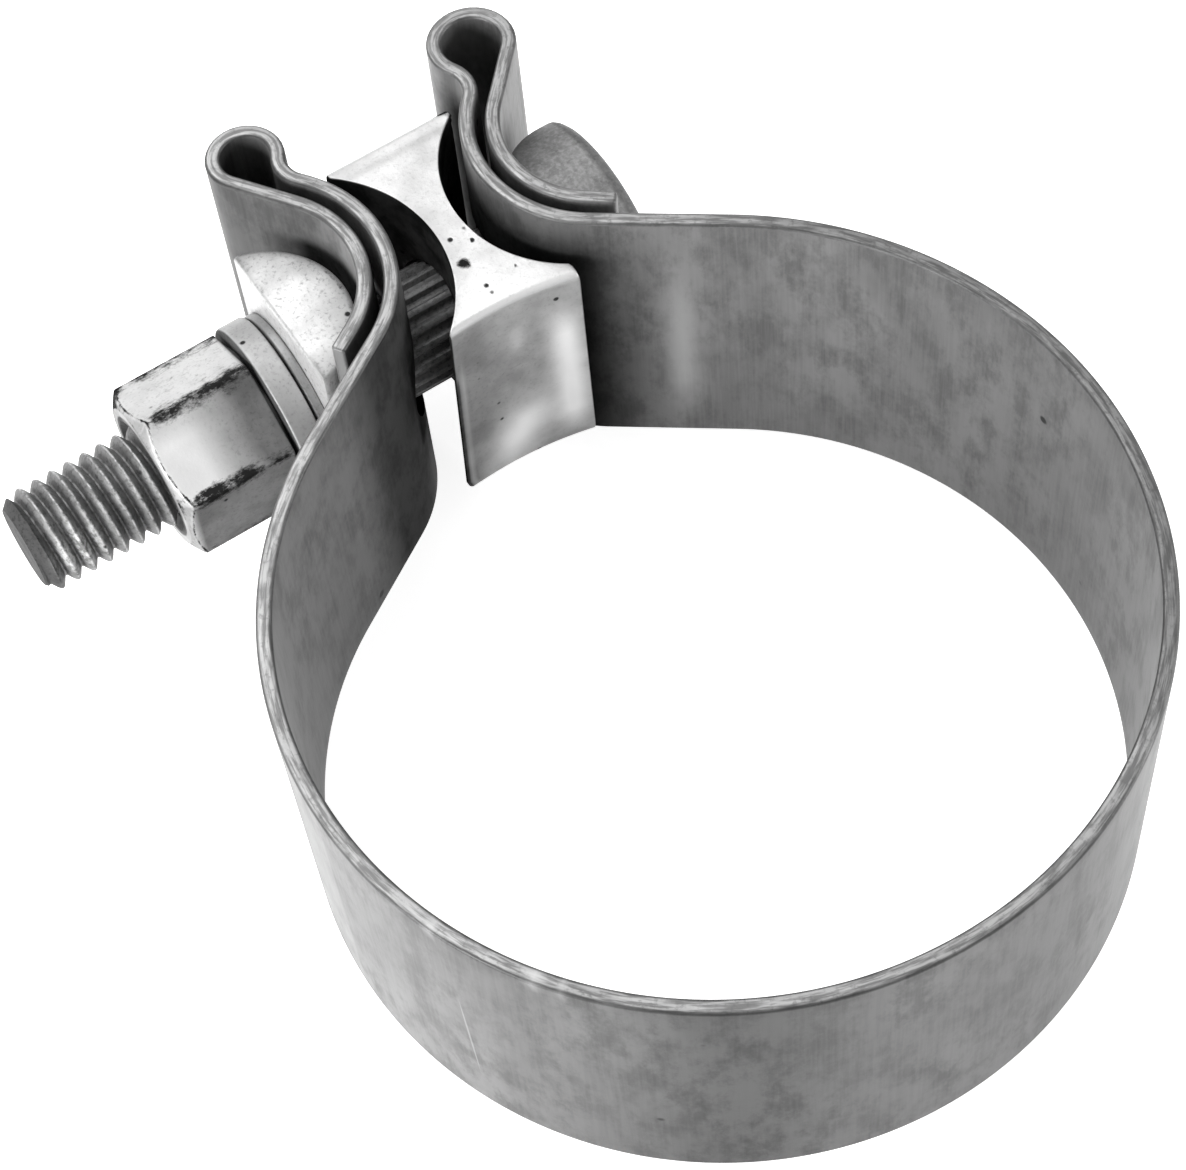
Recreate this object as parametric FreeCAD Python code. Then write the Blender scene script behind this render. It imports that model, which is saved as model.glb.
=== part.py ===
"""Exhaust clamp: a flat steel band folded into two ears and drawn together by a saddle-headed bolt.

Millimetres. The origin is on the pipe's axis at the band's lower edge, +Z runs along the pipe,
+Y from the pipe to the ears, and +X along the bolt from the nut to the bolt's head.
"""
import FreeCAD
import Part

import math
import os

# Pipe and band
pipe_diameter = 69.85
pipe_clearance = 0.125
band_width = 31.75
sheet_thickness = 1.35

# Bolt and thread
thread_diameter = 9.525
bolt_standoff = 8.6
bolt_length = 60.4
tip_chamfer = 1.05
neck_diameter = 10.6
neck_end_past_ear = 3.1
spline_count = 20
spline_depth = 0.45

# Saddle head of the bolt, which lies in the pocket of the ear at +X
saddle_radius = 8.05
saddle_depth = 8.35
saddle_round = 10.6
saddle_chamfer = 0.8
saddle_seat_gap = 0.1

# Folded ears
fold_gap = 0.95
neck_bend_radius = 3.0
bulb_spread = 1.5
fold_tail = 2.5
shortest_straight = 0.001
bolt_slot_clearance = 0.45
bolt_slot_travel = 3.0

# Ear at the bolt's head
head_ear_waist = 6.05
head_pocket_clearance = 0.4
head_pocket_rise = 0.15
head_bulb_radius = 3.35
head_bulb_angle = 69.7
head_tail_slope = 38.0

# Ear at the nut
nut_ear_waist = 3.4
nut_pocket_clearance = 1.05
nut_pocket_rise = 1.3
nut_bulb_radius = 2.85
nut_bulb_angle = 61.6
nut_tail_slope = 32.0

# Spacer block between the ears
spacer_height = 24.4
spacer_rest_drop = 0.45
spacer_waist = 2.75
spacer_nut_gap = 4.35
spacer_nut_hollow = 13.6
spacer_nut_depth = 4.5
spacer_head_hollow = 11.9
spacer_head_depth = 5.3
spacer_outer_reach = 11.3
spacer_hollow_rise = 0.4
spacer_pipe_clearance = 0.1
spacer_neck_clearance = 0.1
spacer_edge = 0.6

# Half-round end bar, which lies in the pocket of the ear at the nut
bar_height = 23.25
bar_radius = 8.15
bar_depth = 6.5
bar_seat_gap = 1.1
bar_rest_shift = 0.25
bar_neck_clearance = 0.1
bar_edge = 0.5

# Washers and nut
thin_washer_radius = 8.3
thin_washer_thickness = 0.95
thick_washer_radius = 8.5
thick_washer_thickness = 2.4
thick_washer_edge = 0.3
washer_bore_clearance = 0.4
washer_gap = 0.2
nut_gap = 0.1
nut_height = 11.2
nut_across_flats = 14.29
nut_chamfer_angle = 30.0
nut_bearing_step = 0.35
nut_thread_clearance = 0.06
nut_mouth = 0.7
nut_turn = 33.0

# Sizes that follow from the ones above
pipe_side = pipe_diameter / 2 + pipe_clearance
band_outside = pipe_side + sheet_thickness
bolt_y = band_outside + bolt_standoff
bolt_z = band_width / 2
thread_radius = thread_diameter / 2
neck_radius = neck_diameter / 2
half_sheet = sheet_thickness / 2
ear_thickness = 2 * sheet_thickness + fold_gap
along_bolt = FreeCAD.Vector(1, 0, 0)
along_pipe = FreeCAD.Vector(0, 0, 1)


def on_bolt(x):
    """The point of the bolt's axis at x."""
    return FreeCAD.Vector(x, bolt_y, bolt_z)


def rod(radius, start, end):
    """A cylinder about the bolt's axis from x = start to x = end."""
    return Part.makeCylinder(radius, end - start, on_bolt(start), along_bolt)


def turned_about_bolt(profile):
    """A solid of revolution about the bolt from (x, radius) points."""
    points = [FreeCAD.Vector(x, bolt_y + radius, bolt_z) for x, radius in profile]
    face = Part.Face(Part.makePolygon(points + points[:1]))
    return face.revolve(on_bolt(0), along_bolt, 360)


def heading_between(first, second):
    """Heading of the straight that leaves one roller and reaches the next one."""
    step_x = second[0] - first[0]
    step_y = second[1] - first[1]
    rise = (second[2] - first[2]) / math.hypot(step_x, step_y)
    return math.atan2(step_y, step_x) - math.asin(max(-1.0, min(1.0, rise)))


def strip_point(roller, heading, side):
    """Where a strip with this heading leaves the roller, moved by side to its left."""
    x, y, radius = roller
    reach = radius - side
    return FreeCAD.Vector(x + reach * math.sin(heading), y - reach * math.cos(heading), 0)


def tail_end(point, heading, length):
    """The end of a straight of this length from a point."""
    return point + FreeCAD.Vector(length * math.cos(heading), length * math.sin(heading), 0)


def strip_side(rollers, start, end, side):
    """Edges of one face of a strip that runs round the rollers.

    A roller is (x, y, radius), with a positive radius where the strip turns left round it. The
    strip keeps a straight tail before the first roller and after the last one. Rollers that touch
    have no straight between them.
    """
    headings = [start] + [heading_between(a, b) for a, b in zip(rollers, rollers[1:])] + [end]
    last = tail_end(strip_point(rollers[0], start, side), start, -fold_tail)
    edges = []
    for roller, enters, leaves in zip(rollers, headings, headings[1:]):
        turn = (leaves - enters) % (2 * math.pi)
        if roller[2] < 0:
            turn -= 2 * math.pi
        arc_start = strip_point(roller, enters, side)
        arc_middle = strip_point(roller, enters + turn / 2, side)
        arc_end = strip_point(roller, enters + turn, side)
        if last.distanceToPoint(arc_start) > shortest_straight:
            edges.append(Part.makeLine(last, arc_start))
        else:
            arc_start = last
        edges.append(Part.Arc(arc_start, arc_middle, arc_end).toShape())
        last = arc_end
    edges.append(Part.makeLine(last, tail_end(last, end, fold_tail)))
    return edges


def neck_roller(outer_ply, bulb, toward_head):
    """The bend on the spacer's side that touches both the outer ply's roller and the bulb's."""
    to_ply = abs(outer_ply[2]) + neck_bend_radius
    to_bulb = abs(bulb[2]) + neck_bend_radius
    step_x = bulb[0] - outer_ply[0]
    step_y = bulb[1] - outer_ply[1]
    gap = math.hypot(step_x, step_y)
    along = (to_ply ** 2 - to_bulb ** 2 + gap ** 2) / (2 * gap)
    across = toward_head * math.sqrt(to_ply ** 2 - along ** 2)
    x = outer_ply[0] + (along * step_x - across * step_y) / gap
    y = outer_ply[1] + (along * step_y + across * step_x) / gap
    return (x, y, neck_bend_radius)


def ear_rollers(side, waist, pocket_radius, pocket_rise, bulb_radius, bulb_angle):
    """Rollers of one ear from the ring to its fold; side is 1 at the head and -1 at the nut."""
    centre_x = side * (waist + ear_thickness + pocket_radius)
    centre_y = bolt_y + pocket_rise
    fold_radius = pocket_radius + half_sheet
    ply_radius = pocket_radius + ear_thickness - half_sheet
    reach = fold_radius + bulb_radius + bulb_spread
    angle = math.radians(bulb_angle)
    bulb_x = centre_x - side * reach * math.cos(angle)
    bulb_y = centre_y + reach * math.sin(angle)
    outer_ply = (centre_x, centre_y, -ply_radius)
    bulb = (bulb_x, bulb_y, -bulb_radius)
    folded_ply = (centre_x, centre_y, fold_radius)
    return [outer_ply, neck_roller(outer_ply, bulb, side), bulb, folded_ply]


def head_pocket_radius():
    """Inside radius of the pocket that holds the bolt's saddle."""
    return saddle_radius + head_pocket_clearance


def nut_pocket_radius():
    """Inside radius of the pocket that holds the end bar."""
    return bar_radius + nut_pocket_clearance


def head_pocket_face():
    """x of the pocket's wall at the bolt, where the saddle seats."""
    return head_ear_waist + ear_thickness


def nut_pocket_face():
    """x of the pocket's wall at the bolt, where the end bar seats."""
    return -(nut_ear_waist + ear_thickness)


def make_band():
    """One strip: fold, bulb and outer ply of each ear, joined by the ring."""
    head_ear = ear_rollers(
        1, head_ear_waist, head_pocket_radius(), head_pocket_rise, head_bulb_radius, head_bulb_angle
    )
    nut_ear = ear_rollers(
        -1, nut_ear_waist, nut_pocket_radius(), nut_pocket_rise, nut_bulb_radius, nut_bulb_angle
    )
    ring = (0.0, 0.0, pipe_side + half_sheet)
    rollers = nut_ear[::-1] + [ring] + head_ear
    start = math.radians(nut_tail_slope)
    end = math.radians(-head_tail_slope)
    left = strip_side(rollers, start, end, half_sheet)
    right = strip_side(rollers, start, end, -half_sheet)
    caps = [
        Part.makeLine(left[0].firstVertex(True).Point, right[0].firstVertex(True).Point),
        Part.makeLine(left[-1].lastVertex(True).Point, right[-1].lastVertex(True).Point),
    ]
    outline = Part.Wire(Part.__sortEdges__(left + right + caps))
    strip = Part.Face(outline).extrude(along_pipe * band_width)
    return strip.cut(bolt_slot())


def bolt_slot():
    """The slot through both ears, longer away from the pipe so that the ears can rock."""
    radius = neck_radius + bolt_slot_clearance
    reach = bar_radius + saddle_radius + ear_thickness + head_ear_waist + nut_ear_waist
    middle = on_bolt(0)
    ends = []
    for shift in (-bolt_slot_travel / 2, bolt_slot_travel / 2):
        base = middle + FreeCAD.Vector(-reach, shift, 0)
        ends.append(Part.makeCylinder(radius, 2 * reach, base, along_bolt))
    corner = middle - FreeCAD.Vector(reach, bolt_slot_travel / 2, radius)
    bridge = Part.makeBox(2 * reach, bolt_slot_travel, 2 * radius, corner)
    return ends[0].fuse([ends[1], bridge]).removeSplitter()


def saddle_centre():
    """x of the saddle's round front, seated in its pocket."""
    return head_pocket_face() + saddle_seat_gap + saddle_radius


def saddle_back():
    """x of the saddle's flat back."""
    return head_pocket_face() + saddle_seat_gap + saddle_depth


def edges_on_x(shape, x):
    """The edges of a shape that lie in the plane across the bolt at x."""
    near = Part.Precision.confusion()
    return [e for e in shape.Edges if e.BoundBox.XLength < near and abs(e.BoundBox.XMin - x) < near]


def level_edges(shape, keep):
    """The edges in the top and bottom planes of a shape whose middle point passes the test."""
    near = Part.Precision.confusion()
    box = shape.BoundBox
    chosen = []
    for edge in shape.Edges:
        middle = edge.valueAt((edge.FirstParameter + edge.LastParameter) / 2)
        level = edge.BoundBox.ZLength < near and min(middle.z - box.ZMin, box.ZMax - middle.z) < near
        if level and keep(middle):
            chosen.append(edge)
    return chosen


def make_saddle():
    """The forged head: a round front along the pipe, rounded off about the bolt, with a flat back."""
    base = FreeCAD.Vector(saddle_centre(), bolt_y, bolt_z - saddle_round)
    front = Part.makeCylinder(saddle_radius, 2 * saddle_round, base, along_pipe)
    outside = rod(saddle_round, saddle_centre() - saddle_radius, saddle_back())
    saddle = front.common(outside)
    return saddle.makeChamfer(saddle_chamfer, edges_on_x(saddle, saddle_back()))


def make_spline(start, end):
    """The splined neck: teeth along the bolt, with crests and roots by turns."""
    step = math.pi / spline_count
    points = []
    for tooth in range(2 * spline_count):
        radius = neck_radius - (tooth % 2) * spline_depth
        angle = tooth * step
        y = bolt_y + radius * math.cos(angle)
        z = bolt_z + radius * math.sin(angle)
        points.append(FreeCAD.Vector(start, y, z))
    face = Part.Face(Part.makePolygon(points + points[:1]))
    return face.extrude(along_bolt * (end - start))


def make_bolt():
    """The saddle, the splined neck and the shank, forged and rolled as one piece."""
    tip = saddle_back() - bolt_length
    middle = saddle_centre()
    neck_end = -(nut_ear_waist + neck_end_past_ear)
    shank = turned_about_bolt(
        [
            (tip, 0),
            (tip, thread_radius - tip_chamfer),
            (tip + tip_chamfer, thread_radius),
            (middle, thread_radius),
            (middle, 0),
        ]
    )
    return make_saddle().fuse([make_spline(neck_end, middle), shank]).removeSplitter()


def make_spacer():
    """The hourglass block on the neck, hollow towards each ear and towards the pipe."""
    nut_side = spacer_nut_gap - nut_ear_waist
    head_side = nut_side + spacer_waist
    left = nut_side - spacer_nut_depth
    width = head_side + spacer_head_depth - left
    low = bolt_z - spacer_rest_drop - spacer_height / 2
    block = Part.makeBox(width, bolt_y + spacer_outer_reach, spacer_height, FreeCAD.Vector(left, 0, low))
    for centre_x, centre_y, radius in (
        (nut_side - spacer_nut_hollow, bolt_y + spacer_hollow_rise, spacer_nut_hollow),
        (head_side + spacer_head_hollow, bolt_y + spacer_hollow_rise, spacer_head_hollow),
        (0, 0, pipe_side + spacer_pipe_clearance),
    ):
        hollow = Part.makeCylinder(radius, spacer_height, FreeCAD.Vector(centre_x, centre_y, low), along_pipe)
        block = block.cut(hollow)
    block = max(block.Solids, key=lambda piece: piece.BoundBox.YMax)

    def at_pipe_or_outside(point):
        past_end = point.y - bolt_y - spacer_outer_reach
        past_pipe = math.hypot(point.x, point.y) - pipe_side - spacer_pipe_clearance
        return min(abs(past_end), abs(past_pipe)) < 2 * Part.Precision.confusion()

    block = block.makeFillet(spacer_edge, level_edges(block, at_pipe_or_outside))
    bore = rod(neck_radius + spacer_rest_drop + spacer_neck_clearance, left, left + width)
    bore.translate(along_pipe * -spacer_rest_drop)
    return block.cut(bore)


def bar_flat():
    """x of the end bar's flat, where the thin washer lies."""
    return nut_pocket_face() - bar_seat_gap - bar_depth


def make_end_bar():
    """The half-round bar in the pocket of the ear at the nut, with its flat towards the nut."""
    low = bolt_z - bar_height / 2
    middle_y = bolt_y + bar_rest_shift
    centre = FreeCAD.Vector(nut_pocket_face() - bar_seat_gap - bar_radius, middle_y, low)
    bar = Part.makeCylinder(bar_radius, bar_height, centre, along_pipe)
    corner = FreeCAD.Vector(bar_flat(), middle_y - bar_radius, low)
    bar = bar.common(Part.makeBox(bar_depth, 2 * bar_radius, bar_height, corner))
    bar = bar.makeFillet(bar_edge, level_edges(bar, lambda point: True))
    bore = rod(neck_radius + bar_rest_shift + bar_neck_clearance, bar_flat(), bar_flat() + bar_depth)
    bore.translate(FreeCAD.Vector(0, bar_rest_shift, 0))
    return bar.cut(bore)


def make_thin_washer():
    """The thin washer that lies on the bar's flat."""
    start = bar_flat() - thin_washer_thickness
    washer = rod(thin_washer_radius, start, bar_flat())
    return washer.cut(rod(thread_radius + washer_bore_clearance, start, bar_flat()))


def thick_washer_front():
    """x of the thick washer's face towards the bar."""
    return bar_flat() - thin_washer_thickness - washer_gap


def make_thick_washer():
    """The thick washer between the thin one and the nut, with broken edges."""
    front = thick_washer_front()
    back = front - thick_washer_thickness
    washer = rod(thick_washer_radius, back, front)
    washer = washer.makeChamfer(thick_washer_edge, edges_on_x(washer, back) + edges_on_x(washer, front))
    return washer.cut(rod(thread_radius + washer_bore_clearance, back, front))


def make_nut():
    """The hexagon nut, with both ends turned to a cone, a bearing ring and open thread mouths."""
    front = thick_washer_front() - thick_washer_thickness - nut_gap
    back = front - nut_height
    corner_radius = nut_across_flats / 2 / math.cos(math.pi / 6)
    points = []
    for corner in range(6):
        angle = math.radians(nut_turn + 60 * corner + 30)
        y = bolt_y - corner_radius * math.sin(angle)
        z = bolt_z + corner_radius * math.cos(angle)
        points.append(FreeCAD.Vector(back, y, z))
    hexagon = Part.Face(Part.makePolygon(points + points[:1])).extrude(along_bolt * nut_height)
    bearing_radius = nut_across_flats / 2 - nut_bearing_step
    cone = (corner_radius - bearing_radius) * math.tan(math.radians(nut_chamfer_angle))
    turned = turned_about_bolt(
        [
            (back, 0),
            (back, bearing_radius),
            (back + cone, corner_radius),
            (front - nut_bearing_step - cone, corner_radius),
            (front - nut_bearing_step, bearing_radius),
            (front, bearing_radius),
            (front, 0),
        ]
    )
    bore_radius = thread_radius + nut_thread_clearance
    bore = turned_about_bolt(
        [
            (back, 0),
            (back, bore_radius + nut_mouth),
            (back + nut_mouth, bore_radius),
            (front - nut_mouth, bore_radius),
            (front, bore_radius + nut_mouth),
            (front, 0),
        ]
    )
    return hexagon.common(turned).cut(bore)


def main():
    os.makedirs("parts", exist_ok=True)
    pieces = {
        "band": make_band(),
        "bolt": make_bolt(),
        "spacer_block": make_spacer(),
        "end_bar": make_end_bar(),
        "thin_washer": make_thin_washer(),
        "thick_washer": make_thick_washer(),
        "nut": make_nut(),
    }
    for name, shape in pieces.items():
        shape.exportStep(f"parts/{name}.step")
        print(name, shape.ShapeType, len(shape.Solids), round(shape.Volume, 1), shape.isValid())


main()
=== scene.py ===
"""Exhaust band clamp: the pieces in detail, their finishes, and a plain stage for them."""

import math

import bpy
import numpy as np
from bpy.props import FloatProperty, FloatVectorProperty, IntProperty, PointerProperty
from bpy.types import Operator, Panel, PropertyGroup
from mathutils import Matrix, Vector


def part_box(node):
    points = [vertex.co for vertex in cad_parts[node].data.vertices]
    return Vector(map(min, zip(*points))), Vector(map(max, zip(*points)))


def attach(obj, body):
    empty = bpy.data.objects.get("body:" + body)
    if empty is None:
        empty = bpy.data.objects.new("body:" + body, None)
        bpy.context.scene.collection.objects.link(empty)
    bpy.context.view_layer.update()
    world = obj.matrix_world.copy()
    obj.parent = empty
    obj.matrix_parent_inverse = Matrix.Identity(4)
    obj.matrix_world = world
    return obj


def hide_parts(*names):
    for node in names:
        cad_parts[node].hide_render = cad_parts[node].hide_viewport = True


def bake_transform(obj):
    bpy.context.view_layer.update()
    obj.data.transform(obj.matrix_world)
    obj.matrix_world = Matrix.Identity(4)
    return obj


bl_info = {
    "name": "Exhaust band clamp",
    "version": (1, 0, 0),
    "blender": (4, 5, 0),
    "location": "View3D > Sidebar > Clamp",
    "description": "Builds a band clamp with folded ears, its bolt and its hardware",
    "category": "Add Mesh",
}

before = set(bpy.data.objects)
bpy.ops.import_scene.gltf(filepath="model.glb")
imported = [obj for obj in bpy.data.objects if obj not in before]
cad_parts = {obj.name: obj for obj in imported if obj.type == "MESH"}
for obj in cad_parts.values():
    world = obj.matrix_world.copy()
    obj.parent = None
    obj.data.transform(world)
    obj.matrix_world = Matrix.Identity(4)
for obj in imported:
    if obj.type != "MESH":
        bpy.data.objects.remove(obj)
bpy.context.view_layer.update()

ROOT_BODY = "band_and_bolt"
STACK_BODY = "draw_stack"
BLOCK_BODY = "block_body"
NUT_BODY = "nut_body"
PHOTO_WIDTH = 1186
MM = 0.001
# Faces that meet at more than this stay sharp
SHARP_ANGLE = math.radians(35.0)
# How far the tool that cuts a slot reaches along the bolt, in metres
SLOT_REACH = 0.021
# Half the angle at the pipe's axis that the two ears take up
EAR_ANGLE = 0.42
# How deep a pit is sunk into a bump's height
PIT_SINK = 1.5
# One over the scratch's half size through the sheet, across it and along it, per metre
SCRATCH_STRETCH = (250.0, 8000.0, 125.0)
# Name, place and width in metres, and watts
LAMPS = (
    ("top_light", (-0.15, 0.45, 0.75), 0.7, 6.5),
    ("left_light", (-0.9, -0.2, 0.2), 0.5, 13.0),
    ("right_light", (0.8, -0.5, 0.25), 0.5, 6.0),
)


def size(name, millimetres, description):
    """A length property, given in millimetres and kept in metres."""
    return FloatProperty(
        name=name, description=description, default=millimetres * MM, precision=5, unit="LENGTH"
    )


def turn(name, degrees, description):
    """An angle property, given in degrees and kept in radians."""
    return FloatProperty(
        name=name, description=description, default=math.radians(degrees), subtype="ANGLE"
    )


def grey(name, level, description):
    """A colour property with a grey default."""
    return FloatVectorProperty(
        name=name, description=description, default=(level,) * 3, min=0.0, max=1.0, subtype="COLOR"
    )


def amount(name, value, description):
    """A plain number property."""
    return FloatProperty(name=name, description=description, default=value, min=0.0)


class BandSizes(PropertyGroup):
    """Sizes of the folded strip."""

    pipe_radius: size("Pipe side", 35.05, "Inside radius of the ring")
    width: size("Width", 31.75, "Width of the strip along the pipe")
    thickness: size("Thickness", 1.35, "Thickness of the sheet")
    edge_round: size("Edge round", 0.3, "Radius of the strip's long edges")
    fold_gap: size("Fold gap", 0.95, "Gap between the two plies of an ear")
    neck_bend: size("Neck bend", 3.0, "Radius of the bend between the outer ply and the bulb")
    bulb_spread: size("Bulb spread", 1.5, "How far the bulb stands off the folded ply's curve")
    fold_tail: size("Fold tail", 2.5, "Straight run at each end of the strip")
    slot_radius: size("Slot half height", 5.75, "Half the height of the slot for the bolt")
    slot_travel: size("Slot travel", 3.0, "Extra length of the slot")
    spacing: size("Spacing", 0.55, "Distance between the sections of the strip")


class EarSizes(PropertyGroup):
    """Sizes of the two folded ears."""

    head_waist: size("Head ear waist", 6.05, "Distance of the head ear's outer ply from the middle")
    head_pocket: size("Head pocket", 8.45, "Inside radius of the pocket at the bolt's head")
    head_rise: size("Head pocket rise", 0.15, "Height of that pocket's centre above the bolt")
    head_bulb: size("Head bulb", 3.35, "Radius of the bulb of the head ear")
    head_bulb_angle: turn("Head bulb angle", 69.7, "Direction of the bulb from the pocket's centre")
    head_tail_slope: turn("Head tail slope", -38.0, "Heading of the folded ply's end")
    nut_waist: size("Nut ear waist", 3.4, "Distance of the nut ear's outer ply from the middle")
    nut_pocket: size("Nut pocket", 9.2, "Inside radius of the pocket at the end bar")
    nut_rise: size("Nut pocket rise", 1.3, "Height of that pocket's centre above the bolt")
    nut_bulb: size("Nut bulb", 2.85, "Radius of the bulb of the nut ear")
    nut_bulb_angle: turn("Nut bulb angle", 61.6, "Direction of the bulb from the pocket's centre")
    nut_tail_slope: turn("Nut tail slope", 32.0, "Heading of the folded ply's start")


class BoltSizes(PropertyGroup):
    """Sizes of the bolt."""

    axis_y: size("Axis distance", 45.0, "Distance of the bolt's axis from the pipe's axis")
    axis_z: size("Axis height", 15.875, "Height of the bolt's axis")
    radius: size("Thread radius", 4.7625, "Outside radius of the thread")
    pitch: size("Pitch", 1.5875, "Pitch of the thread")
    depth: size("Thread depth", 0.88, "Depth of the thread")
    tip_cone: size("Tip cone", 1.05, "Chamfer at the bolt's tip")
    thread_end: size("Thread end", -9.0, "Where the thread runs out on the shank")
    neck_radius: size("Neck radius", 5.3, "Radius over the splines")
    neck_start: size("Neck start", -6.5, "Where the splined neck starts")
    ridge_depth: size("Ridge depth", 0.5, "Depth of the grooves between the splines")
    ridges: IntProperty(name="Splines", description="Splines round the neck", default=20, min=6)
    saddle_radius: size("Saddle radius", 8.05, "Radius of the head's round front")
    saddle_centre: size("Saddle centre", 17.85, "Centre of the head's round front along the bolt")
    saddle_back: size("Saddle back", 18.15, "Flat back of the head along the bolt")
    saddle_round: size("Head round", 10.6, "Radius of the head about the bolt")
    saddle_edge: size("Head edge", 1.3, "Bevel round the head's back")


class BlockSizes(PropertyGroup):
    """Sizes of the spacer block."""

    nut_face: size("Nut face", 0.95, "Bottom of the hollow towards the nut")
    head_face: size("Head face", 3.7, "Bottom of the hollow towards the head")
    nut_hollow: size("Nut hollow", 13.6, "Radius of the hollow towards the nut")
    head_hollow: size("Head hollow", 11.9, "Radius of the hollow towards the head")
    rise: size("Hollow rise", 0.4, "Height of the hollows' centres above the bolt")
    pipe_hollow: size("Pipe hollow", 35.15, "Radius of the hollow towards the pipe")
    long_edge: size("Long edges", 0.75, "Round of the edges towards the pipe and away from it")
    land_edge: size("Land edges", 0.22, "Round of the edges along the hollows")
    bore: size("Bore", 5.85, "Radius of the bore for the neck")
    bore_drop: size("Bore drop", 0.45, "How far the bore lies below the bolt's axis")
    mark_x: size("Mark across", 1.4, "Place of the largest dark mark on the block's top")
    mark_y: size("Mark away", 40.7, "Place of the largest dark mark on the block's top")
    foot: size("Foot", 0.85, "How far the corner at the pipe and the nut spreads at its foot")


class BarSizes(PropertyGroup):
    """Sizes of the end bar."""

    radius: size("Radius", 8.15, "Radius of the bar's round side")
    shift: size("Shift", 0.25, "How far the bar stands off the bolt's axis")
    edge: size("Edges", 0.5, "Round of the bar's edges")
    bore: size("Bore", 5.65, "Radius of the bore")


class HardwareSizes(PropertyGroup):
    """Sizes of the washers and the nut."""

    thin_radius: size("Thin washer", 8.3, "Radius of the thin washer")
    thick_radius: size("Thick washer", 8.5, "Radius of the thick washer")
    washer_bore: size("Washer bore", 5.1625, "Radius of the washers' bore")
    thin_edge: size("Thin edge", 0.25, "Round of the thin washer's edge")
    thick_edge: size("Thick edge", 0.2, "Round of the thick washer's edge")
    across_flats: size("Across flats", 14.29, "Distance between opposite flats of the nut")
    nut_bore: size("Nut bore", 4.8225, "Radius of the nut's bore")
    nut_mouth: size("Nut mouth", 0.7, "Depth of the open mouths of the nut's thread")
    bearing_ring: size("Bearing ring", 0.35, "Height of the ring that bears on the washer")
    front_chamfer: size("Front chamfer", 0.95, "How much less the front is chamfered than the back")
    nut_turn: turn("Nut turn", 33.0, "Angle of the nut's first flat")


class Finishes(PropertyGroup):
    """Colours of the metals."""

    band: grey("Band", 0.2, "Dull rolled steel of the band")
    rim: grey("Band edge", 0.27, "Sheared edge of the band")
    zinc: grey("Bright zinc", 0.7, "Bright plate of the block, the bar and the nut")
    plate: grey("Thick washer", 0.42, "Duller plate of the thick washer")
    pit: grey("Pits", 0.02, "Dark pits and scuffs")
    # The near-black that painted shade darkens to in gaps, corners and along edges
    painted_shade_and_scuffs: grey("Grime", 0.012, "Black grime in gaps and corners")
    bolt: grey("Bolt", 0.24, "Dull plate of the bolt")
    thread: grey("Thread", 0.2, "Dark ground of the thread")
    spline: grey("Splines", 0.17, "Dark ground of the splined neck")
    wear_and_edge_light: grey("Worn crests", 0.6, "Bright metal on worn edges")
    washer: grey("Thin washer", 0.3, "Plain grey washer")
    scratch_x: size("Scratch x", -33.49, "Place of the light scratch on the band's front")
    scratch_y: size("Scratch y", -14.27, "Place of the light scratch on the band's front")
    scratch_z: size("Scratch z", 13.35, "Height of the light scratch on the band's front")
    scratch_lean: turn("Scratch lean", -2.1, "How far the scratch leans from the upright")


class StageSettings(PropertyGroup):
    """The camera and the light."""

    elevation: turn("Camera height", 59.681, "Angle of the camera above the floor")
    azimuth: turn("Camera side", 26.890, "Angle of the camera from the pipe's front")
    roll: turn("Camera roll", 6.794, "Roll of the camera")
    focal_pixels: amount("Focal length", 3135.8, "Focal length in pixels of the photograph")
    camera_x: size("Camera x", -64.488, "Place of the camera")
    camera_y: size("Camera y", -106.269, "Place of the camera")
    camera_z: size("Camera z", 245.866, "Place of the camera")
    world: amount("World", 0.4, "Level of the light from all round")
    floor: grey("Floor", 0.8, "Colour of the floor")
    glow: amount("Floor glow", 0.85, "How much lighter the camera and gloss see the floor")


def settings(context):
    """The group that holds every size and colour."""
    return context.scene.clamp


# Meshes from arrays


def put_mesh(name, points, faces, uv=None):
    """A new object from points and faces, with an optional UV map per corner."""
    mesh = bpy.data.meshes.new(name)
    mesh.from_pydata(points.reshape(-1, 3).tolist(), [], faces)
    if uv is not None:
        layer = mesh.uv_layers.new(name="strip")
        layer.data.foreach_set("uv", uv.astype(np.float32).ravel())
    mesh.update()
    mesh.polygons.foreach_set("use_smooth", np.ones(len(mesh.polygons), bool))
    piece = bpy.data.objects.new(name, mesh)
    bpy.context.collection.objects.link(piece)
    return piece


def grid_quads(rows, columns, wrap):
    """Corner numbers of a grid of points. Each row is a loop, and with wrap the rows close too.

    Corner (i, j) has the number i * columns + j, and a quad joins (i, j), (i, j+1), (i+1, j+1) and
    (i+1, j), with j + 1 taken round the row.
    """
    last = rows if wrap else rows - 1
    i, j = np.meshgrid(np.arange(last), np.arange(columns), indexing="ij")
    i_next = (i + 1) % rows
    j_next = (j + 1) % columns
    row, row_next = i * columns, i_next * columns
    return np.stack((row + j, row + j_next, row_next + j_next, row_next + j), -1).reshape(-1, 4)


def volume_of(points, triangles):
    """Signed volume inside the triangles: a sixth of the sum of their triple products."""
    a, b, c = (points[triangles[:, k]] for k in range(3))
    return np.einsum("ij,ij->i", a, np.cross(b, c)).sum() / 6


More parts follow.
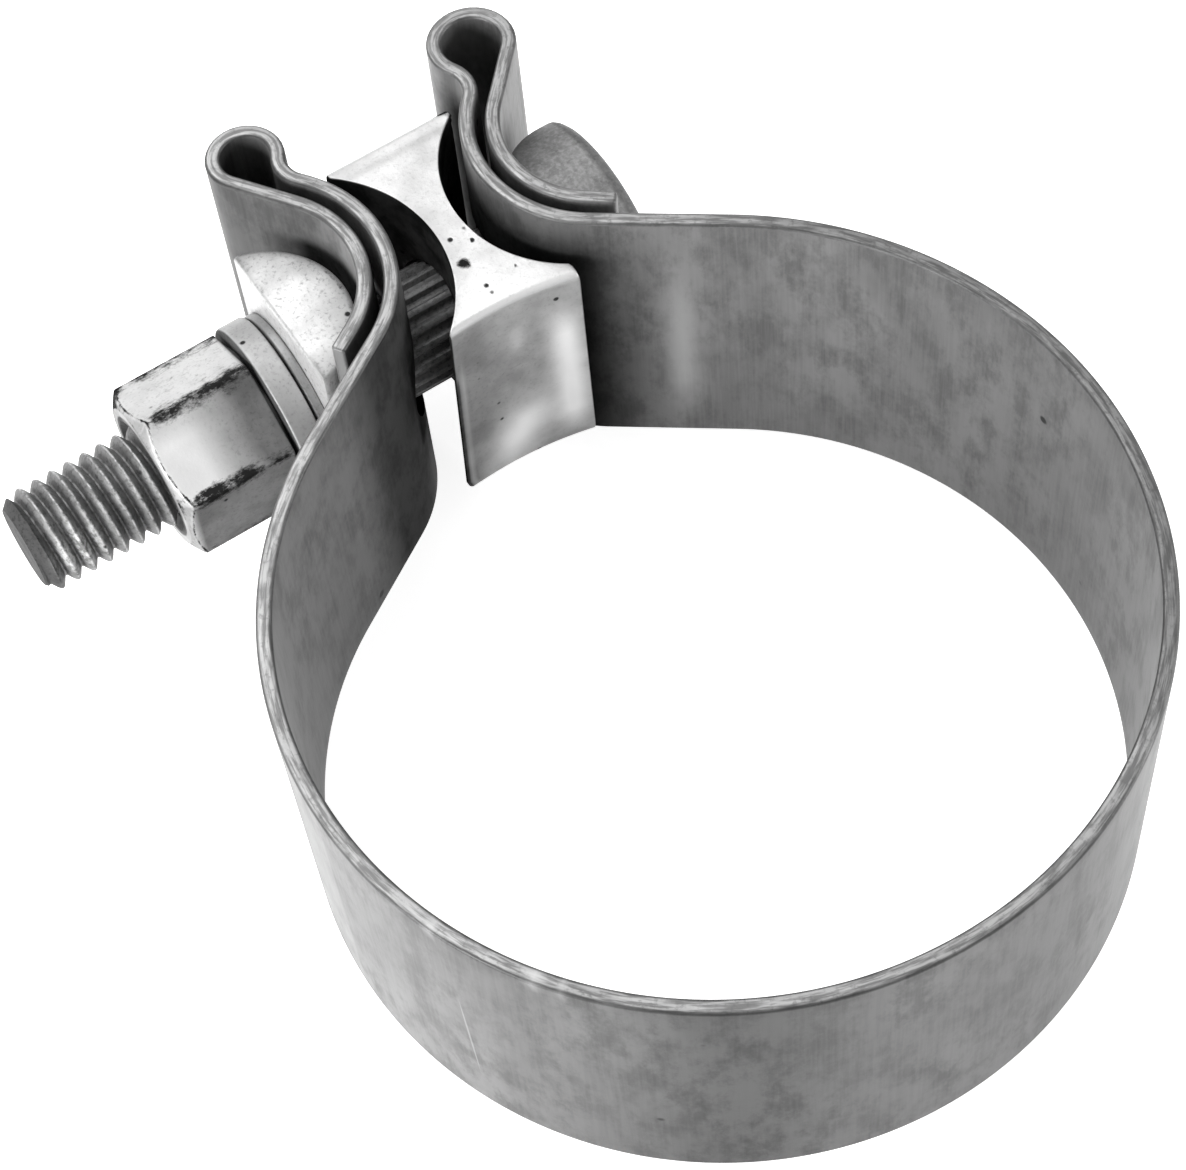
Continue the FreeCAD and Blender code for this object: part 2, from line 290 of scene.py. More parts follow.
def closed_grid(name, points, wrap=False, uv=None):
    """A closed surface from a grid whose rows are loops.

    The first and the last row are filled with one flat face each, unless the rows wrap round. The
    faces are turned outwards by the sign of the volume that they enclose.
    """
    rows, columns = points.shape[:2]
    quads = grid_quads(rows, columns, wrap)
    flat = points.reshape(-1, 3)
    middle = flat.mean(0)
    triangles = np.concatenate([quads[:, :3], quads[:, [0, 2, 3]]])
    outward = volume_of(flat - middle, triangles) > 0
    if not outward:
        quads = quads[:, ::-1]
    faces = quads.tolist()
    corners = None
    if uv is not None:
        corners = strip_corners(uv, rows, columns, outward)
    if not wrap:
        first = np.arange(columns)
        ends = [first[::-1], first + (rows - 1) * columns]
        faces += [(end if outward else end[::-1]).tolist() for end in ends]
        if corners is not None:
            filled = np.repeat(uv[[0, -1], 0], columns, axis=0)
            corners = np.concatenate([corners, filled])
    return put_mesh(name, points, faces, corners)


def strip_corners(uv, rows, columns, outward):
    """UV of every quad corner, from a map with one more column, so that it never folds back."""
    steps = [(0, 0), (0, 1), (1, 1), (1, 0)]
    if not outward:
        steps = steps[::-1]
    corners = [uv[a:rows - 1 + a, b:columns + b] for a, b in steps]
    return np.stack(corners, 2).reshape(-1, 2)


def about_bolt(sizes, x, radius, angle):
    """Points about the bolt: x along it, and radius times cosine and sine of the angle across it.

    The arrays are rows by columns, with the angle measured from +Y towards +Z.
    """
    x, radius, angle = np.broadcast_arrays(x, radius, angle)
    y = sizes.axis_y + radius * np.cos(angle)
    z = sizes.axis_z + radius * np.sin(angle)
    return np.stack([x, y, z], -1)


def round_angles(count):
    """A row of equal angles round a full turn."""
    return np.arange(count)[None, :] * (2 * math.pi / count)


def soft_min(sharpness, *distances):
    """The least of several distances, rounded where they meet: (sum of d^-n)^(-1/n)."""
    total = sum(np.power(np.maximum(d, 1e-9), -sharpness) for d in distances)
    return np.power(total, -1.0 / sharpness)


def rounded_run(start, end, radius, straight, bend):
    """Places from start to end that crowd at both ends, and how far a round edge pulls in there.

    Near an end at distance d the pull is r - sqrt(r^2 - (r - d)^2), as on a quarter circle.
    """
    arc = np.linspace(0, math.pi / 2, bend + 1)
    near = radius * (1 - np.cos(arc))
    pull = radius * (1 - np.sin(arc))
    sign = 1 if end > start else -1
    middle = np.linspace(start + sign * radius, end - sign * radius, straight + 2)[1:-1]
    places = np.concatenate([start + sign * near, middle, (end - sign * near)[::-1]])
    pulls = np.concatenate([pull, np.zeros(straight), pull[::-1]])
    return places, pulls


def store(piece, **shares):
    """Stores shares from 0 to 1, one per point, for the piece's material to read."""
    for name, values in shares.items():
        attribute = piece.data.attributes.new(name, "FLOAT", "POINT")
        attribute.data.foreach_set("value", np.clip(values, 0, 1).astype(np.float32).ravel())


def point_array(piece):
    """The piece's points as an array."""
    co = np.empty(len(piece.data.vertices) * 3, np.float32)
    piece.data.vertices.foreach_get("co", co)
    return co.reshape(-1, 3).astype(float)


def normal_array(piece):
    """The directions of the piece's points as an array."""
    normals = np.empty(len(piece.data.vertices) * 3, np.float32)
    piece.data.vertex_normals.foreach_get("vector", normals)
    return normals.reshape(-1, 3).astype(float)


def hump(value, middle, spread):
    """A smooth hump that is 1 at the middle: exp(-((v - m) / s)^2)."""
    return np.exp(-(((value - middle) / spread) ** 2))


def between(value, zero_at, one_at):
    """How far the value has come from where the share is 0 to where it is 1."""
    return np.clip((value - zero_at) / (one_at - zero_at), 0, 1)


def window(value, rise, full, fall, end):
    """A share that grows from rise to full, stays at 1, and falls from fall to end."""
    return between(value, rise, full) * between(value, end, fall)


class Surface:
    """A piece's points in millimetres (x, y, z) and their directions (nx, ny, nz)."""

    def __init__(self, piece):
        self.x, self.y, self.z = (point_array(piece) / MM).T
        self.nx, self.ny, self.nz = normal_array(piece).T


def cut(piece, tool):
    """Takes the tool's solid out of the piece and deletes the tool."""
    step = piece.modifiers.new("cut", "BOOLEAN")
    step.operation = "DIFFERENCE"
    step.solver = "EXACT"
    step.object = tool
    bpy.context.view_layer.update()
    whole = piece.evaluated_get(bpy.context.evaluated_depsgraph_get())
    mesh = bpy.data.meshes.new_from_object(whole)
    piece.modifiers.clear()
    old = piece.data
    piece.data = mesh
    bpy.data.meshes.remove(old)
    shape = tool.data
    bpy.data.objects.remove(tool)
    bpy.data.meshes.remove(shape)
    mesh.name = piece.name


def finish_piece(piece, body, slot, material, *nodes):
    """Gives the piece its material and body, hides the nodes it stands for. Slot is not used."""
    piece.data.materials.clear()
    piece.data.materials.append(material)
    piece.data.set_sharp_from_angle(angle=SHARP_ANGLE)
    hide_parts(*nodes)
    if body:
        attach(piece, body)


# The strip's path


def heading_between(first, second):
    """Heading of the straight that leaves one roller and reaches the next one."""
    dx, dy = second[0] - first[0], second[1] - first[1]
    rise = (second[2] - first[2]) / math.hypot(dx, dy)
    return math.atan2(dy, dx) - math.asin(max(-1.0, min(1.0, rise)))


def ear_rollers(band, bolt_y, side, waist, pocket, rise, bulb_radius, angle):
    """Rollers of one ear from the ring to its fold; side is 1 at the head and -1 at the nut.

    A roller is (x, y, radius) and the radius is positive where the strip turns left round it. The
    neck's roller touches the outer ply's roller and the bulb's.
    """
    plies = 2 * band.thickness + band.fold_gap
    half = band.thickness / 2
    x, y = side * (waist + plies + pocket), bolt_y + rise
    reach = pocket + half + bulb_radius + band.bulb_spread
    bulb = (x - side * reach * math.cos(angle), y + reach * math.sin(angle), -bulb_radius)
    outer = (x, y, -(pocket + plies - half))
    to_ply, to_bulb = abs(outer[2]) + band.neck_bend, bulb_radius + band.neck_bend
    dx, dy = bulb[0] - x, bulb[1] - y
    gap = math.hypot(dx, dy)
    along = (to_ply**2 - to_bulb**2 + gap**2) / (2 * gap)
    across = side * math.sqrt(to_ply**2 - along**2)
    neck_x = x + (along * dx - across * dy) / gap
    neck_y = y + (along * dy + across * dx) / gap
    return [outer, (neck_x, neck_y, band.neck_bend), bulb, (x, y, pocket + half)]


def strip_rollers(band, ears, bolt_y):
    """All the rollers, from the nut ear's fold, round the ring, to the head ear's fold."""
    head = ear_rollers(
        band, bolt_y, 1, ears.head_waist, ears.head_pocket, ears.head_rise, ears.head_bulb,
        ears.head_bulb_angle,
    )
    nut = ear_rollers(
        band, bolt_y, -1, ears.nut_waist, ears.nut_pocket, ears.nut_rise, ears.nut_bulb,
        ears.nut_bulb_angle,
    )
    ring = (0.0, 0.0, band.pipe_radius + band.thickness / 2)
    return nut[::-1] + [ring] + head


def strip_runs(rollers, start, end, tail):
    """The straights and bends of the strip, one row each: x, y, heading, curvature and length.

    The strip is a belt round the rollers: it leaves each one on a tangent and bends at one over
    its radius.
    """
    headings = [start] + [heading_between(a, b) for a, b in zip(rollers, rollers[1:])] + [end]
    runs = []
    first = rollers[0]
    place = np.array([
        first[0] + first[2] * math.sin(start) - tail * math.cos(start),
        first[1] - first[2] * math.cos(start) - tail * math.sin(start),
    ])
    for roller, enters, leaves in zip(rollers, headings, headings[1:]):
        x, y, radius = roller
        arrives = np.array([x + radius * math.sin(enters), y - radius * math.cos(enters)])
        runs.append((place[0], place[1], enters, 0.0, np.hypot(*(arrives - place))))
        bend = (leaves - enters) % (2 * math.pi)
        if radius < 0:
            bend -= 2 * math.pi
        runs.append((arrives[0], arrives[1], enters, 1 / radius, radius * bend))
        place = np.array([x + radius * math.sin(leaves), y - radius * math.cos(leaves)])
    runs.append((place[0], place[1], end, 0.0, tail))
    return np.array(runs)


def strip_stations(runs, distances):
    """Points and headings of the strip's middle line at these distances along it.

    On a straight the point is p + t (cos h, sin h). On a bend of curvature k the heading is
    h + k t and the point is p + ((sin h' - sin h) / k, (cos h - cos h') / k).
    """
    ends = np.cumsum(runs[:, 4])
    which = np.minimum(np.searchsorted(ends, distances), len(runs) - 1)
    x, y, heading, curve, length = runs[which].T
    t = distances - (ends[which] - length)
    bent = heading + curve * t
    safe = np.where(curve == 0, 1.0, curve)
    dx = np.where(curve == 0, t * np.cos(heading), (np.sin(bent) - np.sin(heading)) / safe)
    dy = np.where(curve == 0, t * np.sin(heading), (np.cos(heading) - np.cos(bent)) / safe)
    return np.stack([x + dx, y + dy], -1), bent


def rounded_section(half_thick, half_wide, radius, flat_steps, wide_steps, bend):
    """Offsets across the thickness and along the width round a rectangle with round corners.

    Each corner is a quarter circle and each side is cut into equal steps.
    """
    arc = np.linspace(0, math.pi / 2, bend + 1)
    e_in, z_in = half_thick - radius, half_wide - radius
    parts = []
    for k, (sign_e, sign_z) in enumerate(((1, 1), (-1, 1), (-1, -1), (1, -1))):
        angle = arc + k * math.pi / 2
        parts.append(np.stack([
            sign_e * e_in + radius * np.cos(angle), sign_z * z_in + radius * np.sin(angle)
        ], -1))
    sides = []
    for k, steps in enumerate((flat_steps, wide_steps, flat_steps, wide_steps)):
        a, b = parts[k][-1], parts[(k + 1) % 4][0]
        t = np.linspace(0, 1, steps + 1)[1:-1, None]
        sides += [parts[k], a + (b - a) * t]
    return np.concatenate(sides)


def strip_mesh(band, ears, bolt_y):
    """The strip's surface: its section carried along the belt path and rounded at both ends.

    Point (s, k) is the middle line at s plus the section's offset e along the left normal
    (-sin h, cos h), at height z. Near the ends the section shrinks along a quarter circle. The UV
    map is the distance along the strip and the distance round the section, in metres.
    """
    rollers = strip_rollers(band, ears, bolt_y)
    runs = strip_runs(rollers, ears.nut_tail_slope, ears.head_tail_slope, band.fold_tail)
    length = runs[:, 4].sum()
    count = int(length / band.spacing)
    distances, pull = rounded_run(0.0, length, band.edge_round, straight=count, bend=4)
    centre, heading = strip_stations(runs, distances)
    half_thick, half_wide = band.thickness / 2, band.width / 2
    section = rounded_section(
        half_thick, half_wide, band.edge_round, flat_steps=3, wide_steps=24, bend=5
    )
    e = section[None, :, 0] * (1 - pull / half_thick)[:, None]
    z = half_wide + section[None, :, 1] * (1 - pull / half_wide)[:, None]
    x = centre[:, None, 0] - e * np.sin(heading)[:, None]
    y = centre[:, None, 1] + e * np.cos(heading)[:, None]
    around = np.concatenate([section, section[:1]])
    v = np.concatenate([[0], np.cumsum(np.hypot(*np.diff(around, axis=0).T))])
    u, v = np.meshgrid(distances, v, indexing="ij")
    return closed_grid("folded_band", np.stack([x, y, z], -1), uv=np.stack([u, v], -1))


def ease_round_ring(points):
    """A share for each point of the band: 0 at the head's ear, 1 at the nut's.

    With t the angle round the ring from one ear to the other, it is (t - sin 2t / 2) / 2 pi: the
    share grows fastest at the ring's sides and stays level at the far side.
    """
    angle = np.arctan2(points[:, 0], points[:, 1]) % (2 * math.pi)
    t = between(angle, EAR_ANGLE, 2 * math.pi - EAR_ANGLE) * 2 * math.pi
    return (t - np.sin(2 * t) / 2) / (2 * math.pi)


def slot_tool(band, bolt, name, start, end):
    """A slot's solid along the bolt: a round-ended oval, two half circles apart by the travel."""
    angle = round_angles(64)
    shift = np.where(np.cos(angle) > 0, 0.5, -0.5) * band.slot_travel
    points = about_bolt(bolt, np.array([[start], [end]]), band.slot_radius, angle)
    points[..., 1] += shift
    return closed_grid(name, points)


def bore_tool(bolt, radius, start, end, shift_y=0.0, shift_z=0.0):
    """A plain cylinder along the bolt that cuts a bore."""
    points = about_bolt(bolt, np.array([[start], [end]]), radius, round_angles(96))
    return closed_grid("tool", points + np.array([0.0, shift_y, shift_z]))


# Node materials


class MetalSheet:
    """A material's node tree, with short calls that add nodes and join them."""

    def __init__(self, name):
        self.material = bpy.data.materials.new(name)
        self.material.use_nodes = True
        self.tree = self.material.node_tree
        self.shader = self.tree.nodes["Principled BSDF"]

    def add(self, kind, **values):
        """A node of this kind. Values name its fields, or its inputs with spaces as underscores."""
        node = self.tree.nodes.new(kind)
        for key, value in values.items():
            if hasattr(node, key):
                setattr(node, key, value)
            else:
                self.feed(node.inputs[key.replace("_", " ")], value)
        return node

    def feed(self, socket, value):
        """Joins a node's first output, or a socket, to this one, or sets a plain value."""
        if isinstance(value, bpy.types.Node):
            value = value.outputs[0]
        if isinstance(value, bpy.types.NodeSocket):
            self.tree.links.new(value, socket)
        else:
            socket.default_value = value

    def coordinates(self, uv=False):
        """The piece's own coordinates in metres, or its strip map."""
        if uv:
            return self.add("ShaderNodeUVMap", uv_map="strip")
        return self.add("ShaderNodeTexCoord").outputs["Object"]

    def scaled(self, coordinates, scale):
        """Coordinates times a scale along each axis."""
        return self.add("ShaderNodeMapping", Vector=coordinates, Scale=scale)

    def noise(self, coordinates, scale, detail, rough):
        """Smooth noise between 0 and 1."""
        return self.add(
            "ShaderNodeTexNoise", Vector=coordinates, Scale=scale, Detail=detail, Roughness=rough
        ).outputs["Fac"]

    def spots(self, coordinates, scale, chance, size):
        """Scattered round spots: 1 inside a spot and 0 outside, in a share of the cells."""
        cells = self.add("ShaderNodeTexVoronoi", Vector=coordinates, Scale=scale, Randomness=1.0)
        pick = self.add("ShaderNodeSeparateColor", Color=cells.outputs["Color"])
        wanted = self.ramp(pick.outputs[0], chance * 0.98, chance, 1.0, 0.0)
        near = self.ramp(cells.outputs["Distance"], size * 0.5, size, 1.0, 0.0)
        return self.times(wanted, near)

    def scratch(self, x, y, z, lean):
        """A thin leaning line about this place: 1 on it and 0 away from it.

        The place is moved to the middle, turned by the lean about the face's normal, and stretched
        so that the line is the inside of a long thin oval.
        """
        place = self.coordinates()
        moves = (
            {"Location": (-x, -y, -z)}, {"Rotation": (0.0, 0.0, -math.atan2(y, x))},
            {"Rotation": (lean, 0.0, 0.0)},
        )
        for move in moves:
            place = self.add("ShaderNodeMapping", Vector=place, **move)
        sized = self.scaled(place, SCRATCH_STRETCH)
        length = self.add("ShaderNodeVectorMath", operation="LENGTH")
        self.feed(length.inputs[0], sized)
        return self.ramp(length.outputs["Value"], 0.6, 1.0, 1.0, 0.0)

    def ramp(self, value, low, high, at_low=0.0, at_high=1.0):
        """Maps low to high onto at_low to at_high, smoothly."""
        node = self.add(
            "ShaderNodeMapRange", interpolation_type="SMOOTHSTEP", Value=value, From_Min=low,
            From_Max=high, To_Min=at_low, To_Max=at_high,
        )
        return node.outputs[0]

    def maths(self, operation, first, second):
        """One sum on two values."""
        node = self.add("ShaderNodeMath", operation=operation)
        self.feed(node.inputs[0], first)
        self.feed(node.inputs[1], second)
        return node.outputs[0]

    def times(self, first, second):
        """The product of two values."""
        return self.maths("MULTIPLY", first, second)

    def less_pits(self, height, pits):
        """A height with the pits sunk into it."""
        return self.maths("SUBTRACT", height, self.times(pits, PIT_SINK))

    def layered(self, colour, base, *layers):
        """Shades of one colour in layers over the base shade.

        A layer is a pattern, where it starts and is full, how much of it covers, and its shade.
        """
        result = tint(colour, base)
        for pattern, low, high, cover, shade in layers:
            share = self.ramp(pattern, low, high, 0.0, cover)
            result = self.mix(share, result, tint(colour, shade))
        return result

    def mix(self, share, first, second):
        """A colour between two colours: inputs 6 and 7 and output 2 are the node's colours."""
        node = self.add("ShaderNodeMix", data_type="RGBA")
        self.feed(node.inputs[0], share)
        for socket, value in ((node.inputs[6], first), (node.inputs[7], second)):
            self.feed(socket, value if hasattr(value, "node") else (*value[:3], 1.0))
        return node.outputs[2]

    def stored(self, name):
        """A number stored on the piece's points."""
        return self.add("ShaderNodeAttribute", attribute_name=name).outputs["Fac"]

    def bump(self, height, strength, distance):
        """A normal raised by this height."""
        return self.add("ShaderNodeBump", Strength=strength, Distance=distance, Height=height)

    def finish(self, colour, roughness, normal, metallic, painted_shade_and_scuffs):
        """Feeds the shader and returns the material. Painted shade and scuffs take the metal's
        shine away.
        """
        values = {
            "Base Color": colour, "Roughness": roughness, "Normal": normal,
            "Metallic": self.ramp(painted_shade_and_scuffs, 0.0, 1.0, metallic, 0.0),
            "Specular IOR Level": self.ramp(painted_shade_and_scuffs, 0.0, 1.0, 0.2, 0.0),
        }
        for name, value in values.items():
            self.feed(self.shader.inputs[name], value)
        return self.material


def tint(colour, factor):
    """A colour times a factor, no brighter than white."""
    return tuple(min(1.0, factor * c) for c in colour)


def band_metal(finishes):
    """Rolled steel: blotches, a fine grain across the strip, dark pits and a streaked edge."""
    sheet = MetalSheet("rolled_steel")
    uv = sheet.coordinates(uv=True)
    band, painted_shade_and_scuffs = finishes.band, finishes.painted_shade_and_scuffs
    wide = sheet.scaled(uv, (1.0, 0.5, 1.0))
    clouds = sheet.noise(wide, 85.0, 4.0, 0.6)
    blotch = sheet.noise(wide, 300.0, 5.0, 0.7)
    grain = sheet.noise(sheet.scaled(uv, (2600.0, 90.0, 1.0)), 1.0, 3.0, 0.6)
    fine = sheet.noise(uv, 2200.0, 2.0, 0.5)
    pits = sheet.spots(uv, 260.0, chance=0.07, size=0.14)
    ground = sheet.layered(
        band, 0.8,
        (clouds, 0.32, 0.68, 1.0, 1.35),
        (blotch, 0.4, 0.66, 0.75, 0.5),
        (grain, 0.35, 0.65, 0.2, 1.5),
    )
    bright = tint(band, 2.4)
    colour = sheet.mix(sheet.stored("rim"), ground, sheared_edge(sheet, uv, finishes.rim))
    # Pale: a pale smear, a painted highlight on the right side and bright chips
    colour = sheet.mix(sheet.stored("pale"), colour, bright)
    # Painted shade: a dark outline where the strip's rounded edges turn
    colour = sheet.mix(sheet.times(sheet.stored("line"), 0.6), colour, painted_shade_and_scuffs)
    colour = sheet.mix(pits, colour, finishes.pit)
    place = (finishes.scratch_x, finishes.scratch_y, finishes.scratch_z)
    scratch = sheet.scratch(*place, finishes.scratch_lean)
    colour = sheet.mix(sheet.times(scratch, 0.5), colour, bright)
    # Painted shade where the stored shade is, broken a little by the blotches
    shade = sheet.times(sheet.stored("shade"), sheet.ramp(blotch, 0.4, 0.66, 0.95, 1.0))
    colour = sheet.mix(shade, colour, painted_shade_and_scuffs)
    rough = sheet.ramp(clouds, 0.3, 0.7, 0.44, 0.58)
    height = sheet.maths("ADD", sheet.times(grain, 0.6), sheet.times(fine, 0.5))
    normal = sheet.bump(sheet.less_pits(height, pits), strength=0.35, distance=0.00003)
    return sheet.finish(colour, rough, normal, 0.7, shade)


def sheared_edge(sheet, uv, rim):
    """The colour of the strip's sheared edge: streaks along it and dark mottle."""
    streaks = sheet.noise(sheet.scaled(uv, (300.0, 3200.0, 1.0)), 1.0, 3.0, 0.6)
    mottle = sheet.noise(uv, 1500.0, 3.0, 0.65)
    layers = ((streaks, 0.38, 0.62, 1.0, 1.45), (mottle, 0.5, 0.72, 0.6, 0.45))
    return sheet.layered(rim, 0.62, *layers)


def plate_metal(name, colour, finishes, pits=0.1, speckle=0.5, rough=0.42):
    """Plated steel: faint clouds, fine speckle, dark pits, and scuffs where the stored wear is."""
    sheet = MetalSheet(name)
    place = sheet.coordinates()
    clouds = sheet.noise(place, 260.0, 4.0, 0.6)
    grains = sheet.noise(place, 2900.0, 3.0, 0.65)
    holes = sheet.spots(place, 620.0, chance=pits, size=0.2)
    ragged = sheet.noise(sheet.scaled(place, (500.0, 900.0, 900.0)), 1.0, 6.0, 0.8)
    wear_and_edge_light = sheet.maths("ADD", sheet.times(sheet.stored("wear"), 0.6), ragged)
    scuff = sheet.ramp(wear_and_edge_light, 0.84, 1.1)
    painted = sheet.layered(
        colour, 1.0, (clouds, 0.3, 0.75, 1.0, 0.8), (grains, 0.5, 0.74, speckle, 0.4)
    )
    # Painted highlights and painted reflections where the stored pale is
    painted = sheet.mix(sheet.stored("pale"), painted, (0.95, 0.95, 0.95))
    painted = sheet.mix(scuff, painted, finishes.pit)
    painted = sheet.mix(holes, painted, finishes.pit)
    # Painted shade where the stored shade is
    shade = sheet.times(sheet.stored("shade"), sheet.ramp(clouds, 0.35, 0.65, 0.93, 1.0))
    painted = sheet.mix(shade, painted, finishes.painted_shade_and_scuffs)
    height = sheet.maths("SUBTRACT", sheet.less_pits(sheet.times(grains, 0.6), holes), scuff)
    dull = sheet.ramp(clouds, 0.3, 0.7, rough - 0.05, rough + 0.1)
    dull = sheet.maths("ADD", dull, sheet.times(scuff, 0.4))
    painted_shade_and_scuffs = sheet.maths("MAXIMUM", shade, sheet.times(scuff, 0.9))
    normal = sheet.bump(height, strength=0.4, distance=0.00006)
    return sheet.finish(painted, dull, normal, 0.55, painted_shade_and_scuffs)


def bolt_metal(name, ground, finishes, mottle=0.75, grain=0.0):
    """Dull plate: fine dark mottle, a few pits, and bright metal where the stored wear is."""
    sheet = MetalSheet(name)
    place = sheet.coordinates()
    clouds = sheet.noise(place, 420.0, 4.0, 0.6)
    fine = sheet.noise(place, 2600.0, 4.0, 0.7)
    brushed = sheet.noise(sheet.scaled(place, (2600.0, 2600.0, 160.0)), 1.0, 2.0, 0.6)
    holes = sheet.spots(place, 520.0, chance=0.12, size=0.22)
    colour = sheet.layered(
        ground, 0.8,
        (clouds, 0.3, 0.7, 1.0, 1.15),
        (fine, 0.46, 0.68, mottle, 0.3),
        (brushed, 0.4, 0.7, grain, 1.8),
    )
    ragged = sheet.ramp(sheet.noise(place, 1500.0, 4.0, 0.7), 0.4, 0.58)
    colour = sheet.mix(sheet.times(sheet.stored("wear"), ragged), colour, finishes.wear_and_edge_light)
    colour = sheet.mix(holes, colour, finishes.pit)
    shade = sheet.stored("shade")
    colour = sheet.mix(shade, colour, finishes.painted_shade_and_scuffs)
    rough = sheet.ramp(clouds, 0.3, 0.7, 0.46, 0.62)
    normal = sheet.bump(sheet.less_pits(fine, holes), strength=0.5, distance=0.00005)
    return sheet.finish(colour, rough, normal, 0.5, shade)


# The pieces


class CLAMP_OT_band(Operator):
    """Builds the band: one strip folded into two ears, slotted for the bolt"""

    bl_idname = "clamp.band"
    bl_label = "Band"

    # Where shares grow, are full, fall and end: y and z in millimetres, the side in degrees
    ears_y = (26, 31, 56, 59)
    bar_y = (37, 39, 51, 54)
    smear_z = (2, 8, 18, 28)
    front_side = (-170, -148, -75, -50)
    # The middle of the gap between the ears, how far the painted shade goes beyond it, and its
    # level
    gap_middle, gap_half, painted_shade_and_scuffs = 2.7, 6.5, 0.97
    # Middle and half size along x, y and z of the box that holds both slots
    slots = ((2.7, 10), (45, 7.6), (15.9, 6.3))
    # Side, spread and level of each chip on the front's edge
    chips = ((-160.0, 0.6, 1.0), (-145.6, 0.9, 1.0), (-142.0, 0.5, 0.6))

    def execute(self, context):
        group = settings(context)
        band, ears, bolt = group.band, group.ears, group.bolt
        piece = strip_mesh(band, ears, bolt.axis_y)
        cut(piece, slot_tool(band, bolt, "head_slot", 0.0, SLOT_REACH))
        cut(piece, slot_tool(band, bolt, "nut_slot", -SLOT_REACH, 0.0))
        self.stain(piece, band)
        finish_piece(piece, None, "band_steel", band_metal(group.finishes), "band")
        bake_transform(piece)
        share = ease_round_ring(point_array(piece)).astype(np.float32)
        return {"FINISHED"}

    def stain(self, piece, band):
        """Stores where the strip's edge, painted dark outline, painted shade and pale patches are.

        With n the upward part of a point's direction, the edge is where n is near 1 and its
        outline is 4 n^2 (1 - n^2). Places are in millimetres, and sides in degrees round the ring.
        """
        skin = Surface(piece)
        up = np.abs(skin.nz)
        skin.flank = between(up, 0.7, 0.4)
        skin.to_axis = -(skin.nx * skin.x + skin.ny * skin.y) / np.hypot(skin.x, skin.y)
        skin.inside = between(skin.to_axis, 0, 0.2)
        skin.outside = between(skin.to_axis, 0, -0.2)
        skin.side = np.degrees(np.arctan2(skin.y, skin.x))
        painted_shades = (self.gap_painted_shade(skin, band), self.pocket_painted_shade(skin), self.slot_painted_shade(skin))
        # Painted shade on the rim towards the right
        edge = 0.4 * up * between(skin.x, 18, 26)
        shade = np.max([*painted_shades, edge, self.front_shade(skin), *self.wall_shades(skin)], 0)
        pale = self.pale_patches(skin)
        line = 4 * up**2 * (1 - up**2)
        store(piece, rim=between(up, 0.6, 0.9), line=line, shade=shade, pale=pale)

    def gap_painted_shade(self, skin, band):
        """Painted shade on the faces that look at each other across the gap between the ears."""
        off = skin.x - self.gap_middle
        to_middle = -skin.nx * np.sign(off)
        at_foot = np.maximum(skin.to_axis, to_middle * between(skin.y, 20, 26))
        inwards = np.where(skin.y > 34, to_middle, at_foot)
        beyond = np.maximum(np.abs(off) - self.gap_half, 0)
        near = hump(beyond, 0, 5.0) * window(skin.y, *self.ears_y)
        depth = 0.35 + 0.65 * between(band.width / MM - skin.z, 0.5, 5.0)
        return self.painted_shade_and_scuffs * between(inwards, 0.1, 0.3) * skin.flank * near * depth

    def pocket_painted_shade(self, skin):
        """Painted shade in the nut ear's pocket, over the height of the end bar."""
        low, high = (corner[2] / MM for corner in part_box("end_bar"))
        off_bar = np.abs(skin.z - (low + high) / 2) - (high - low) / 2
        beside_bar = between(off_bar, 0.6, -0.1) * window(skin.y, *self.bar_y)
        return self.painted_shade_and_scuffs * between(skin.x, -5, -6) * between(skin.nx, -0.1, -0.3) * beside_bar

    def slot_painted_shade(self, skin):
        """Painted shade on the walls of the slots for the bolt."""
        sides = zip((skin.x, skin.y, skin.z), self.slots)
        within = [np.abs(place - middle) < half for place, (middle, half) in sides]
        return self.painted_shade_and_scuffs * np.all(within, axis=0)

    def front_shade(self, skin):
        """Painted shade on the outside of the ring's front."""
        level = 0.36 + 0.32 * hump(skin.side, -122, 14)
        return level * skin.outside * window(skin.side, *self.front_side)

    def wall_shades(self, skin):
        """Painted shade on walls inside left, there by the gap, inside right, and behind the bar.
        """
        to_right = skin.flank * between(skin.nx, -0.1, 0.1)
        left = 0.4 * skin.inside * to_right * between(skin.x, -2, -12)
        neck = 0.85 * skin.inside * to_right * between(skin.y, 28, 34) * between(skin.x, -2, -6)
        right = 0.3 * skin.inside * between(skin.x, 15, 30) * between(skin.y, 24, 4)
        to_left = between(skin.nx, -0.1, -0.3)
        fold = 0.56 * to_left * between(skin.x, -5, -6) * between(skin.y, 45, 50)
        return left, neck, right, fold

    def pale_patches(self, skin):
        """A pale smear inside the ring, a painted highlight at the right and chips on the front's
        edge.
        """
        smear = skin.inside * hump(skin.side, 61.59, 2.292) * window(skin.z, *self.smear_z)
        right = skin.outside * between(skin.side, -75, -45)
        chips = sum(level * hump(skin.side, place, spread) for place, spread, level in self.chips)
        at_edge = between(skin.z, 30.5, 31.3)
        return 0.75 * smear + 0.2 * right + 0.8 * at_edge * chips


def thread_height(phase):
    """Height of the thread from 0 at the root to 1 at the crest, over one pitch from 0 to 1.

    With p the share of the way up a flank it is the mean of p and sin(p pi / 2), so that the root
    is narrow and the crest is a little round.
    """
    share = np.interp(phase % 1.0, [0, 0.1, 0.54, 0.6, 1.0], [0, 0, 1, 1, 0])
    return 0.5 * (share + np.sin(0.5 * math.pi * share))


